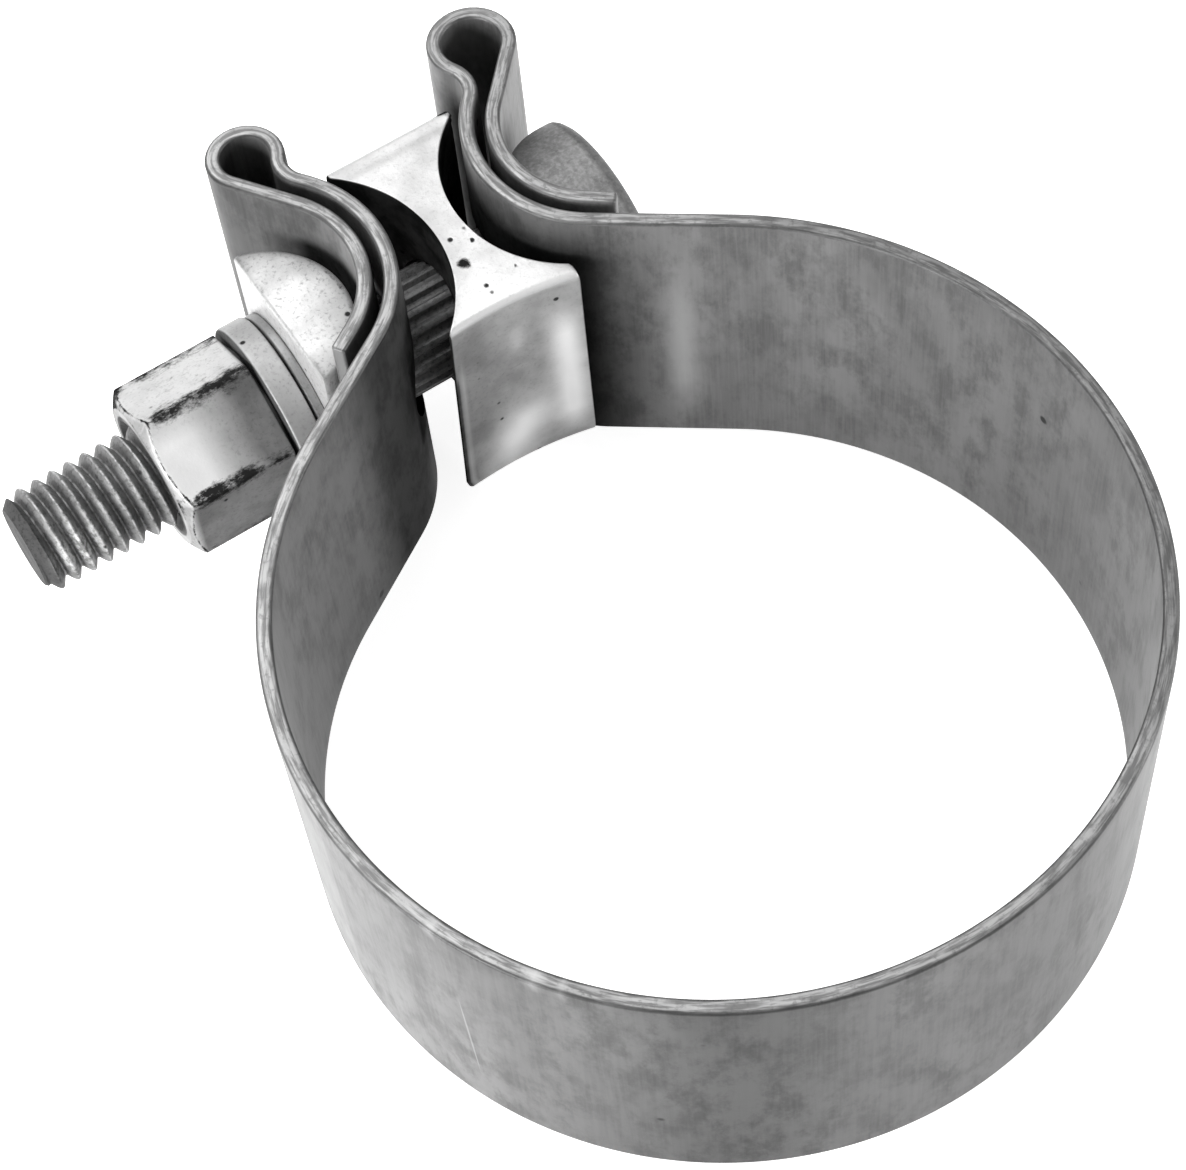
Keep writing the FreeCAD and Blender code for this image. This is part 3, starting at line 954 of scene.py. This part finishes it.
def shank_points(bolt, tip):
    """The threaded shank: radius as a function of the angle and the distance along the bolt.

    The phase of the thread is x over the pitch less the angle over a full turn, which makes a
    right-hand thread. It fades out at the thread's end, a cone at the tip limits the radius, and
    crossed waves dent the crests a little.
    """
    x = np.arange(tip, bolt.neck_start, bolt.pitch / 20)[:, None]
    angle = round_angles(144)
    height = thread_height(x / bolt.pitch - angle / (2 * math.pi))
    fade = between(x, bolt.thread_end, bolt.thread_end - 2 * bolt.pitch)
    dents = np.sin(7 * angle + 900 * x) * np.sin(3 * angle - 2100 * x)
    dents = 0.03 * np.abs(dents + np.sin(17 * angle + 400 * x))
    radius = bolt.radius - bolt.depth * ((1 - height) * fade + dents * height)
    cone = bolt.radius - bolt.tip_cone + (x - tip)
    points = about_bolt(bolt, x, np.minimum(radius, cone), angle)
    return points, thread_wear((x - tip) / MM, angle, height, fade)


def thread_wear(along, angle, height, fade):
    """Bright crests, and a rubbed place on the flanks towards the pipe; along is in millimetres."""
    crest = 0.75 * between(height, 0.95, 1.0) * np.clip(fade * 2, 0, 1) * between(along, 0.8, 2.0)
    rubbed = 1.5 * hump(along, 3.6, 2.2) * hump(angle, 2.75, 0.4) * between(height, 0.2, 0.5)
    return crest + rubbed


def fill_ends(points, first_middle, last_middle, shares):
    """Adds loops that shrink a grid's first and last row towards their middles."""
    shares = shares[:, None, None]
    first = first_middle + (points[:1] - first_middle) * shares
    last = last_middle + (points[-1:] - last_middle) * shares
    return np.concatenate([first, points, last[::-1]])


class CLAMP_OT_bolt(Operator):
    """Builds the bolt: saddle head, splined neck and threaded shank"""

    bl_idname = "clamp.bolt"
    bl_label = "Bolt"

    # Depth of the bevel round the head's back, as a share of its width
    bevel_depth = 0.8

    def execute(self, context):
        group = settings(context)
        bolt, finishes = group.bolt, group.finishes
        points, wear, shade = self.shank(bolt)
        metal = bolt_metal("thread_metal", finishes.thread, finishes)
        self.add_part("bolt_thread", points, metal, wear=wear, shade=shade)
        points, wear = self.neck(bolt)
        metal = bolt_metal("spline_metal", finishes.spline, finishes)
        self.add_part("bolt_splines", points, metal, wear=wear)
        points, shade = self.saddle(bolt)
        metal = bolt_metal("saddle_metal", finishes.bolt, finishes, mottle=0.3, grain=0.4)
        self.add_part("bolt_saddle", points, metal, shade=shade)
        return {"FINISHED"}

    def add_part(self, name, points, metal, **shares):
        """One closed part of the forging, with the shares that its metal reads."""
        part = closed_grid(name, points)
        store(part, **shares)
        finish_piece(part, ROOT_BODY, "bolt_steel", metal, "bolt")

    def shank(self, bolt):
        """The shank with flat ends, its bright crests and its darker tip."""
        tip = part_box("bolt")[0][0]
        points, wear = shank_points(bolt, tip)
        shares = np.linspace(0.04, 1, 5, endpoint=False)
        axis = (bolt.axis_y, bolt.axis_z)
        ends = [np.array([row[0, 0], *axis]) for row in (points[0], points[-1])]
        points = fill_ends(points, *ends, shares)
        wear = np.pad(wear, ((len(shares), len(shares)), (0, 0)))
        return points, wear, 0.75 * between((points[..., 0] - tip) / MM, 1.6, 0.9)

    def neck(self, bolt):
        """The splined neck: its radius dips by the depth times a rounded wave.

        It also slopes in at its end.
        """
        x, _ = rounded_run(bolt.neck_start, bolt.saddle_centre, 0.4 * MM, straight=40, bend=4)
        x = x[:, None]
        angle = round_angles(bolt.ridges * 12)
        wave = np.clip(0.5 + 0.85 * np.cos(bolt.ridges * angle), 0, 1)
        slope = between((x - bolt.neck_start) / MM, 0.9, 0)
        radius = bolt.neck_radius - bolt.ridge_depth * (1 - wave) - 0.8 * MM * slope
        return about_bolt(bolt, x, radius, angle), np.broadcast_to(0.12 * wave, radius.shape)

    def saddle(self, bolt):
        """The head: loops from the middle of its back, over its side, to the middle of its front.

        Its outline about the bolt is the soft least of the round and of the front's radius over
        the cosine. The bevel at the back is darker.
        """
        angle = round_angles(192)
        cosine = np.maximum(np.abs(np.cos(angle)), 1e-3)
        outline = soft_min(40, bolt.saddle_round, bolt.saddle_radius / cosine)
        back_x, back_radius, flat_rows = self.saddle_back(bolt, outline)
        front_edge, front_x, front_radius = self.saddle_front(bolt, outline, angle)
        start = back_x[-1]
        side_x = start + (front_edge - start) * np.linspace(0, 1, 16)[1:, None]
        back_x = np.broadcast_to(back_x, back_radius.shape)
        x = np.concatenate([back_x, side_x, front_x])
        side_radius = np.broadcast_to(outline, side_x.shape)
        radius = np.concatenate([back_radius, side_radius, front_radius])
        shade = np.zeros_like(radius)
        shade[flat_rows:len(back_radius)] = 0.45
        return about_bolt(bolt, x, radius, angle), shade

    def saddle_back(self, bolt, outline):
        """The flat back and the bevel round it: x, radius, and how many rows are flat."""
        bevel = bolt.saddle_edge
        arc = np.linspace(0, math.pi / 2, 6)[:, None]
        share = np.append(np.linspace(0.03, 0.95, 10), 0.99)[:, None]
        inner = outline - bevel
        radius = np.concatenate([inner * share, inner + bevel * np.sin(arc)])
        flat_x = np.full_like(share, bolt.saddle_back)
        bevel_x = bolt.saddle_back - self.bevel_depth * bevel * (1 - np.cos(arc))
        return np.concatenate([flat_x, bevel_x]), radius, len(share)

    def saddle_front(self, bolt, outline, angle):
        """The round front, with its edge turned in: where the edge is, x, and radius.

        The front at y is centre - sqrt(r^2 - y^2).
        """
        turn_in = 0.5 * MM
        arc = np.linspace(0, math.pi / 2, 6)[1:, None]
        share = np.linspace(1, 0.03, 22)[1:, None]
        edge_radius = outline - turn_in * (1 - np.cos(arc))
        radius = np.concatenate([edge_radius, (outline - turn_in) * share])
        edge, x = (
            bolt.saddle_centre
            - np.sqrt(np.maximum(bolt.saddle_radius**2 - (reach * np.cos(angle)) ** 2, 0))
            for reach in (outline, radius)
        )
        side_start = bolt.saddle_back - self.bevel_depth * bolt.saddle_edge
        edge = np.minimum(edge + turn_in, side_start - 0.1 * MM)
        x[:len(arc)] += turn_in * (1 - np.sin(arc))
        return edge, np.minimum(x, edge), radius


class CLAMP_OT_block(Operator):
    """Builds the spacer block between the ears"""

    bl_idname = "clamp.block"
    bl_label = "Spacer block"

    def execute(self, context):
        group = settings(context)
        block, bolt, finishes = group.block, group.bolt, group.finishes
        low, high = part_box("spacer_block")
        piece = self.shape(block, bolt, low, high)
        cut(piece, bore_tool(bolt, block.bore, low[0] - MM, high[0] + MM, shift_z=-block.bore_drop))
        self.stain(piece, block, low, high)
        metal = plate_metal("bright_zinc_block", finishes.zinc, finishes, pits=0.16, speckle=0.3)
        finish_piece(piece, BLOCK_BODY, "bright_zinc", metal, "spacer_block")
        return {"FINISHED"}

    def stain(self, piece, block, low, high):
        """Stores painted shade (black hollows, grey towards the pipe) and pale painted reflections.

        Places are in millimetres.
        """
        skin = Surface(piece)
        spread = self.spread(block, skin.z * MM, low[2], high[2])
        edge = skin.x - (low[0] - spread) / MM
        high = np.array(high) / MM
        to_pipe = between(-skin.ny, 0.85, 0.97)
        painted_reflections = self.pipe_side_painted_reflections(skin)
        # Painted shade on the face towards the pipe, darker at its left and less on the reflections
        face = to_pipe * (0.42 + 0.14 * between(skin.x, 1, -1)) * (1 - painted_reflections)
        bevel = between(np.abs(skin.ny), 0.15, 0.4) * window(skin.nz, 0.2, 0.4, 0.95, 0.99)
        top = between(skin.nz, 0.9, 0.98)
        groove = 0.225 * top * hump(skin.y, high[1] - 1.9, 0.4)
        from_corner = np.hypot(skin.x - high[0], skin.y - high[1])
        corner = hump(from_corner, 0, 1.5) * between(skin.z, high[2] - 2, high[2] - 1)
        from_mark = np.hypot(skin.x - block.mark_x / MM, skin.y - block.mark_y / MM)
        # A painted highlight along the land low on the face towards the pipe, with painted shade
        # lines
        wear_and_edge_light = to_pipe * between(skin.z, 24, 20)
        land = wear_and_edge_light * hump(edge, 0.75, 0.2)
        lines = wear_and_edge_light * np.maximum(0.9 * between(edge, 0.6, 0.35), 0.6 * hump(edge, 1.2, 0.17))
        # Painted shade: the hollows are near black
        hollow = 0.98 * between(np.abs(skin.nx), 0.4, 0.6)
        wear = 0.9 * corner + 0.4 * bevel + 1.15 * top * hump(from_mark, 0, 0.9)
        # Pale: painted reflections, and painted highlights on the bevel and the land
        pale = 0.95 * to_pipe * painted_reflections + 0.5 * bevel + land
        store(piece, pale=pale, shade=np.max([hollow, face, groove, lines], 0), wear=wear)

    def pipe_side_painted_reflections(self, skin):
        """Pale painted reflections towards the pipe: a tall one, a slanted low one and a small one.
        """
        x, z = skin.x, skin.z
        tall = hump(x, 7.2, 1.6) * window(z, 4, 8, 20, 25)
        low = hump(x, 1.8, 3.4) * hump(z - 0.7 * (x - 1.8), 8.0, 4.2) * between(z, 16, 10)
        small = 0.35 * hump(x, 2.6, 1.0) * hump(z, 22, 1.8)
        return np.clip(tall + low + small, 0, 1)

    def shape(self, block, bolt, low, high):
        """A rounded rectangle in y and z, carried from the nut's hollow to the head's.

        At share a of the way, x is (1 - a) times the nut side plus a times the head side at that y.
        The rectangle follows the pipe's hollow, so y and x are found in turns.
        """
        height = high[2] - low[2]
        depth = high[1] - block.pipe_hollow
        edge_share = 0.02
        share, pull = rounded_run(0.0, 1.0, edge_share, straight=76, bend=4)
        pull = pull / edge_share * block.land_edge
        shrink = np.linspace(0.05, 1, 24, endpoint=False)
        loop = np.concatenate([shrink, np.ones_like(share), shrink[::-1]])
        share = np.pad(share, len(shrink), mode="edge")[:, None]
        pull = np.pad(pull, len(shrink), mode="edge")[:, None]
        section = rounded_section(
            0.5 * depth, 0.5 * height, block.long_edge, flat_steps=60, wide_steps=36, bend=6
        )
        y_off = section[None, :, 0] * (loop[:, None] * (1 - 2 * pull / depth))
        z = (low[2] + high[2]) / 2 + section[None, :, 1] * (loop[:, None] * (1 - 2 * pull / height))
        part = 0.5 + y_off / depth
        inside = np.full_like(y_off, block.pipe_hollow)
        for _ in range(4):
            y = inside + (high[1] - inside) * part
            nut_side, head_side = self.sides(block, y - bolt.axis_y - block.rise, low[0], high[0])
            x = (1 - share) * nut_side + share * head_side
            inside = np.sqrt(block.pipe_hollow**2 - x**2)
        y = np.minimum(y, high[1])
        from_corner = np.hypot(x - x.min(), y - inside)
        x = x - self.spread(block, z, low[2], high[2]) * hump(from_corner, 0, 1.3 * MM)
        return closed_grid("spacer_hourglass", np.stack([x, y, z], -1))

    def sides(self, block, off, start, end):
        """x of both sides at this distance off the hollows' centres: a circle, then a flat."""
        nut_arc, head_arc = (
            np.sqrt(np.maximum(radius**2 - off**2, 0))
            for radius in (block.nut_hollow, block.head_hollow)
        )
        nut_side = np.maximum(block.nut_face - block.nut_hollow + nut_arc, start)
        head_side = np.minimum(block.head_face + block.head_hollow - head_arc, end)
        return nut_side, head_side

    def spread(self, block, z, bottom, top):
        """How far the corner at the pipe and the nut stands out at height z: most at its foot."""
        return block.foot * between(z, top, bottom) * np.sqrt(between(z, bottom, bottom + 1.5 * MM))


class CLAMP_OT_bar(Operator):
    """Builds the half-round end bar"""

    bl_idname = "clamp.bar"
    bl_label = "End bar"

    def execute(self, context):
        group = settings(context)
        bar, bolt, finishes = group.bar, group.bolt, group.finishes
        low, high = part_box("end_bar")
        centre = (high[0] - bar.radius, bolt.axis_y + bar.shift)
        piece = closed_grid("half_round_bar", self.shape(bar, centre, low, high))
        cut(piece, bore_tool(bolt, bar.bore, low[0] - MM, high[0] + MM, shift_y=bar.shift))
        self.stain(piece, bar, centre, low, high)
        zinc = tint(finishes.zinc, 0.9)
        metal = plate_metal("bright_zinc_bar", zinc, finishes, pits=0.12, speckle=0.75)
        finish_piece(piece, STACK_BODY, "bright_zinc", metal, "end_bar")
        return {"FINISHED"}

    def shape(self, bar, centre, low, high):
        """Loops round the middle of the bar's section, at heights that crowd at both ends.

        Their radius is the soft least of the distances to the flat and to the round side. That
        side's centre lies a gap g beside the middle: -g cos a + sqrt(r^2 - g^2 sin^2 a).
        """
        middle = ((low[0] + high[0]) / 2, centre[1])
        angle = round_angles(160)
        flat = (middle[0] - low[0]) / np.maximum(-np.cos(angle), 1e-3)
        to_flat = np.where(np.cos(angle) < 0, flat, 1.0)
        gap = middle[0] - centre[0]
        to_round = -gap * np.cos(angle) + np.sqrt(bar.radius**2 - (gap * np.sin(angle)) ** 2)
        z, pull = rounded_run(low[2], high[2], bar.edge, straight=24, bend=6)
        radius = soft_min(60, to_flat, to_round) - pull[:, None]
        x = middle[0] + radius * np.cos(angle)
        y = middle[1] + radius * np.sin(angle)
        points = np.stack([x, y, np.broadcast_to(z[:, None], x.shape)], -1)
        ends = [np.array([*middle, corner[2]]) for corner in (low, high)]
        return fill_ends(points, *ends, np.linspace(0.05, 1, 8, endpoint=False))

    def stain(self, piece, bar, centre, low, high):
        """Stores the scuffs, and painted shade as grey along the edges of the bar's two ends."""
        points = point_array(piece)
        from_middle = np.abs(points[:, 2] - (low[2] + high[2]) / 2)
        edge = between((high[2] - low[2]) / 2 - from_middle, bar.edge, 0)
        off = np.hypot(points[:, 0] - centre[0], points[:, 1] - centre[1])
        to_edge = edge * between(off, bar.radius - 3.5 * MM, bar.radius)
        to_flat = edge * hump(points[:, 0], low[0] + 0.4 * bar.edge, 0.4 * bar.edge)
        wear = 0.6 * edge * (off > bar.radius - 1.6 * bar.edge)
        store(piece, wear=wear, shade=0.5 * to_edge + 0.3 * to_flat)


def washer_grid(name, bolt, box, outer, bore, edge):
    """A washer: a rounded rectangle in x and radius, turned about the bolt."""
    start, end = (corner[0] for corner in box)
    section = rounded_section(
        (outer - bore) / 2, (end - start) / 2, edge, flat_steps=4, wide_steps=10, bend=5
    )
    radius = (outer + bore) / 2 + section[:, :1]
    x = (start + end) / 2 + section[:, 1:]
    return closed_grid(name, about_bolt(bolt, x, radius, round_angles(128)), wrap=True)


class CLAMP_OT_washers(Operator):
    """Builds the thin and the thick washer"""

    bl_idname = "clamp.washers"
    bl_label = "Washers"

    def execute(self, context):
        group = settings(context)
        parts, bolt, finishes = group.hardware, group.bolt, group.finishes
        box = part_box("thin_washer")
        bore = parts.washer_bore
        thin = washer_grid("thin_ring", bolt, box, parts.thin_radius, bore, parts.thin_edge)
        metal = plate_metal("grey_washer", finishes.washer, finishes, pits=0.05)
        finish_piece(thin, STACK_BODY, "grey_steel", metal, "thin_washer")
        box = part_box("thick_washer")
        thick = washer_grid("thick_ring", bolt, box, parts.thick_radius, bore, parts.thick_edge)
        x = point_array(thick)[:, 0]
        to_face = np.minimum(x - box[0][0], box[1][0] - x)
        wear = 0.5 * between(to_face, parts.thick_edge, 0)
        # Painted shade on the thick washer's edges, in the gaps at its faces
        store(thick, wear=wear, shade=0.9 * between(to_face, 0.5 * parts.thick_edge, 0))
        metal = plate_metal("dull_zinc_washer", finishes.plate, finishes, pits=0.06, rough=0.5)
        finish_piece(thick, STACK_BODY, "bright_zinc", metal, "thick_washer")
        return {"FINISHED"}


class CLAMP_OT_nut(Operator):
    """Builds the hexagon nut"""

    bl_idname = "clamp.nut"
    bl_label = "Nut"

    def execute(self, context):
        group = settings(context)
        parts, bolt, finishes = group.hardware, group.bolt, group.finishes
        back, front = (corner[0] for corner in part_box("nut"))
        angle = round_angles(288)
        turned = angle - math.pi / 2 - parts.nut_turn
        wedge = (turned + math.pi / 6) % (math.pi / 3) - math.pi / 6
        sides, chamfer = self.sides(parts, wedge, back, front)
        ends, rows = self.ends_and_bore(parts, sides, back, front)
        x = np.concatenate([row for row, _ in rows])
        radius = np.concatenate([np.broadcast_to(r, (len(row), angle.shape[1])) for row, r in rows])
        piece = closed_grid("hex_nut", about_bolt(bolt, x, radius, angle), wrap=True)
        end = sides[0][-1]
        share = (sides[0] - back) / (end - back)
        pads = (ends, (0, 0))
        shade = self.shade(turned, chamfer, share, (end - sides[0]) / MM)
        # Painted shade: the free end is grey and black round its bore, and all after the sides is
        # black
        shade = np.pad(shade, pads, constant_values=((0.55, 0.9), (0, 0)))
        shade[:3] = 0.92
        wear = np.pad(self.wear(turned, wedge, chamfer, share), pads)
        store(piece, shade=shade, wear=wear, pale=np.pad(self.pale(turned, wedge, share), pads))
        metal = plate_metal("bright_zinc_nut", finishes.zinc, finishes, pits=0.1, speckle=0.4)
        finish_piece(piece, NUT_BODY, "bright_zinc", metal, "nut")
        return {"FINISHED"}

    def sides(self, parts, wedge, back, front):
        """Rows of x and radius over the six sides, and how far the chamfer lies outside them.

        The hexagon is half its width over the cosine of the angle from the middle of a side. The
        chamfers are 30 degree cones from the bearing rings, and the radius is the soft least. The
        chamfer's distance is in millimetres.
        """
        half = parts.across_flats / 2
        end = front - parts.bearing_ring
        x = np.linspace(back, end, 72)[:, None]
        near = np.minimum(x - back, parts.front_chamfer + end - x)
        cone = half - parts.bearing_ring + near / math.tan(math.radians(30))
        hexagon = half / np.cos(wedge)
        return (x, soft_min(140, hexagon, cone)), (cone - hexagon) / MM

    def ends_and_bore(self, parts, sides, back, front):
        """How many rows lie before and after the sides, and all the rows of the nut in turn."""
        mouth = parts.nut_bore + parts.nut_mouth
        bearing = parts.across_flats / 2 - parts.bearing_ring
        ring = mouth + (bearing - mouth) * np.linspace(0, 1, 8)[:, None]
        bore_x = np.linspace(front - parts.nut_mouth, back + parts.nut_mouth, 20)[:, None]
        before = [(np.full_like(ring[:-1], back), ring[:-1])]
        bore = (bore_x, np.full_like(bore_x, parts.nut_bore))
        after = [(np.full_like(ring, front), ring[::-1]), bore]
        return (len(ring) - 1, len(ring) + len(bore_x)), [*before, sides, *after]

    def wear(self, turned, wedge, chamfer, share):
        """Scuffs along the corners and the ends; the share goes from the free end to the washer.

        The face at turn 0 has heavy scuffs along both its corners.
        """
        round_turn = turned % (2 * math.pi)
        lit = between(self.off_face(turned), 2.1, 1.4)
        corner = between(np.abs(wedge), 0.25, 0.5) * (0.3 + 0.5 * lit)
        far_corner = self.off_face(turned + math.pi / 2)
        scuffs = (
            corner * between(share, 0.02, 0.14),
            0.6 * hump(share, 0.0, 0.04),
            0.3 * hump(round_turn, 0.5, 0.12) * between(share, 0.8, 0.5),
            # A broken dark line along the chamfer's edge: painted shade among the scuffs
            0.7 * hump(chamfer, 0.25, 0.2) * between(share, 0.5, 0.3),
            0.56 * hump(round_turn, 5 * math.pi / 3, 0.5) * between(share, 0.1, 0.3),
            1.3 * hump(far_corner, 0, 0.2) * hump(share, 0.03, 0.08),
        )
        return sum(scuffs)

    def shade(self, turned, chamfer, share, to_end):
        """Painted shade: the lit face fades to grey, the next is grey, the chamfers and end are
        dark.
        """
        below = window(turned % (2 * math.pi), 0.5, 0.58, 1.54, 1.62)
        lit_face = 0.83 * self.middle_face(turned) * between(share, 0.35, 0.8)
        low_face = 0.74 * below * between(share, 0.02, 0.1)
        end = 0.9 * between(to_end, 0.2, 0)
        edge = 0.6 * between(chamfer, 0.35, -0.2)
        return np.maximum(np.maximum(lit_face + low_face, end), edge)

    def pale(self, turned, wedge, share):
        """A painted reflection: the bright end of the lit face."""
        return self.middle_face(turned) * between(share, 0.6, 0.3) * between(wedge, -0.5, -0.2)

    def off_face(self, turned):
        """Angle from the middle of the lit face, from 0 to pi."""
        return np.abs((turned + math.pi) % (2 * math.pi) - math.pi)

    def middle_face(self, turned):
        """1 on the lit face and 0 on the others."""
        return between(self.off_face(turned), 0.56, 0.5)


class CLAMP_OT_stage(Operator):
    """Sets up the floor, the lights and the camera"""

    bl_idname = "clamp.stage"
    bl_label = "Stage"

    def execute(self, context):
        stage = settings(context).stage
        self.camera(context, stage)
        self.floor(stage)
        for lamp in LAMPS:
            self.light(*lamp)
        world = bpy.data.worlds.new("room")
        context.scene.world = world
        world.use_nodes = True
        background = world.node_tree.nodes["Background"]
        background.inputs["Color"].default_value = (1, 1, 1, 1)
        background.inputs["Strength"].default_value = stage.world
        context.scene.view_settings.view_transform = "Standard"
        return {"FINISHED"}

    def camera(self, context, stage):
        """The camera looks along (sin a cos e, cos a cos e, -sin e), rolled about that line."""
        side = np.array([math.cos(stage.azimuth), -math.sin(stage.azimuth), 0.0])
        level = np.array([math.sin(stage.azimuth), math.cos(stage.azimuth), 0.0])
        ahead = level * math.cos(stage.elevation) + np.array([0, 0, -math.sin(stage.elevation)])
        down = np.cross(ahead, side)
        c, s = math.cos(stage.roll), math.sin(stage.roll)
        right, down = c * side + s * down, -s * side + c * down
        place = (stage.camera_x, stage.camera_y, stage.camera_z)
        data = bpy.data.cameras.new("camera")
        data.sensor_width = 36.0
        data.lens = stage.focal_pixels / PHOTO_WIDTH * data.sensor_width
        data.clip_start = 0.01
        data.clip_end = 20.0
        camera = bpy.data.objects.new("camera", data)
        context.collection.objects.link(camera)
        turned = np.stack([right, -down, -ahead, place], -1)
        camera.matrix_world = Matrix([*turned.tolist(), [0, 0, 0, 1]])
        context.scene.camera = camera

    def floor(self, stage):
        """A wide square floor just under the band, which the camera and gloss see lighter."""
        half, z = 3.0, -0.02 * MM
        points = np.array([[-half, -half, z], [half, -half, z], [half, half, z], [-half, half, z]])
        floor = put_mesh("floor", points, [[0, 1, 2, 3]])
        sheet = MetalSheet("pale_floor")
        paper = sheet.add("ShaderNodeBsdfDiffuse", Color=(*stage.floor[:3], 1.0))
        rays = sheet.add("ShaderNodeLightPath").outputs
        seen = sheet.maths("MAXIMUM", rays["Is Camera Ray"], rays["Is Glossy Ray"])
        seen = sheet.maths("MAXIMUM", seen, rays["Is Transmission Ray"])
        glow = sheet.add("ShaderNodeEmission", Strength=sheet.times(seen, stage.glow))
        both = sheet.add("ShaderNodeAddShader")
        sheet.feed(both.inputs[0], paper)
        sheet.feed(both.inputs[1], glow)
        sheet.feed(sheet.tree.nodes["Material Output"].inputs["Surface"], both)
        sheet.tree.nodes.remove(sheet.shader)
        floor.data.materials.append(sheet.material)

    def light(self, name, place, width, watts):
        """A square soft light that faces the clamp."""
        data = bpy.data.lights.new(name, "AREA")
        data.size = width
        data.energy = watts
        lamp = bpy.data.objects.new(name, data)
        bpy.context.collection.objects.link(lamp)
        place = np.array(place)
        away = place / np.linalg.norm(place)
        side = np.cross((0.0, 0.0, 1.0), away)
        side /= np.linalg.norm(side)
        up = np.cross(away, side)
        turned = np.stack([side, up, away, place], -1)
        lamp.matrix_world = Matrix([*turned.tolist(), [0, 0, 0, 1]])


class ClampSettings(PropertyGroup):
    """Everything that a user would change."""

    band: PointerProperty(type=BandSizes)
    ears: PointerProperty(type=EarSizes)
    bolt: PointerProperty(type=BoltSizes)
    block: PointerProperty(type=BlockSizes)
    bar: PointerProperty(type=BarSizes)
    hardware: PointerProperty(type=HardwareSizes)
    finishes: PointerProperty(type=Finishes)
    stage: PointerProperty(type=StageSettings)


OPERATORS = (
    CLAMP_OT_stage, CLAMP_OT_band, CLAMP_OT_bolt, CLAMP_OT_block, CLAMP_OT_bar, CLAMP_OT_washers,
    CLAMP_OT_nut,
)


class CLAMP_PT_sidebar(Panel):
    """Lists the clamp's pieces in the sidebar"""

    bl_label = "Exhaust clamp"
    bl_space_type = "VIEW_3D"
    bl_region_type = "UI"
    bl_category = "Clamp"

    def draw(self, context):
        for operator in OPERATORS:
            self.layout.operator(operator.bl_idname)


CLASSES = (
    BandSizes, EarSizes, BoltSizes, BlockSizes, BarSizes, HardwareSizes, Finishes, StageSettings,
    ClampSettings, *OPERATORS, CLAMP_PT_sidebar,
)


def register():
    """Registers the classes and the settings."""
    for item in CLASSES:
        bpy.utils.register_class(item)
    bpy.types.Scene.clamp = PointerProperty(type=ClampSettings)


def unregister():
    """Takes the settings and the classes away again."""
    del bpy.types.Scene.clamp
    for item in reversed(CLASSES):
        bpy.utils.unregister_class(item)


def main():
    """Builds the stage and every piece."""
    register()
    for operator in OPERATORS:
        group, name = operator.bl_idname.split(".")
        getattr(getattr(bpy.ops, group), name)()


if __name__ == "__main__":
    main()
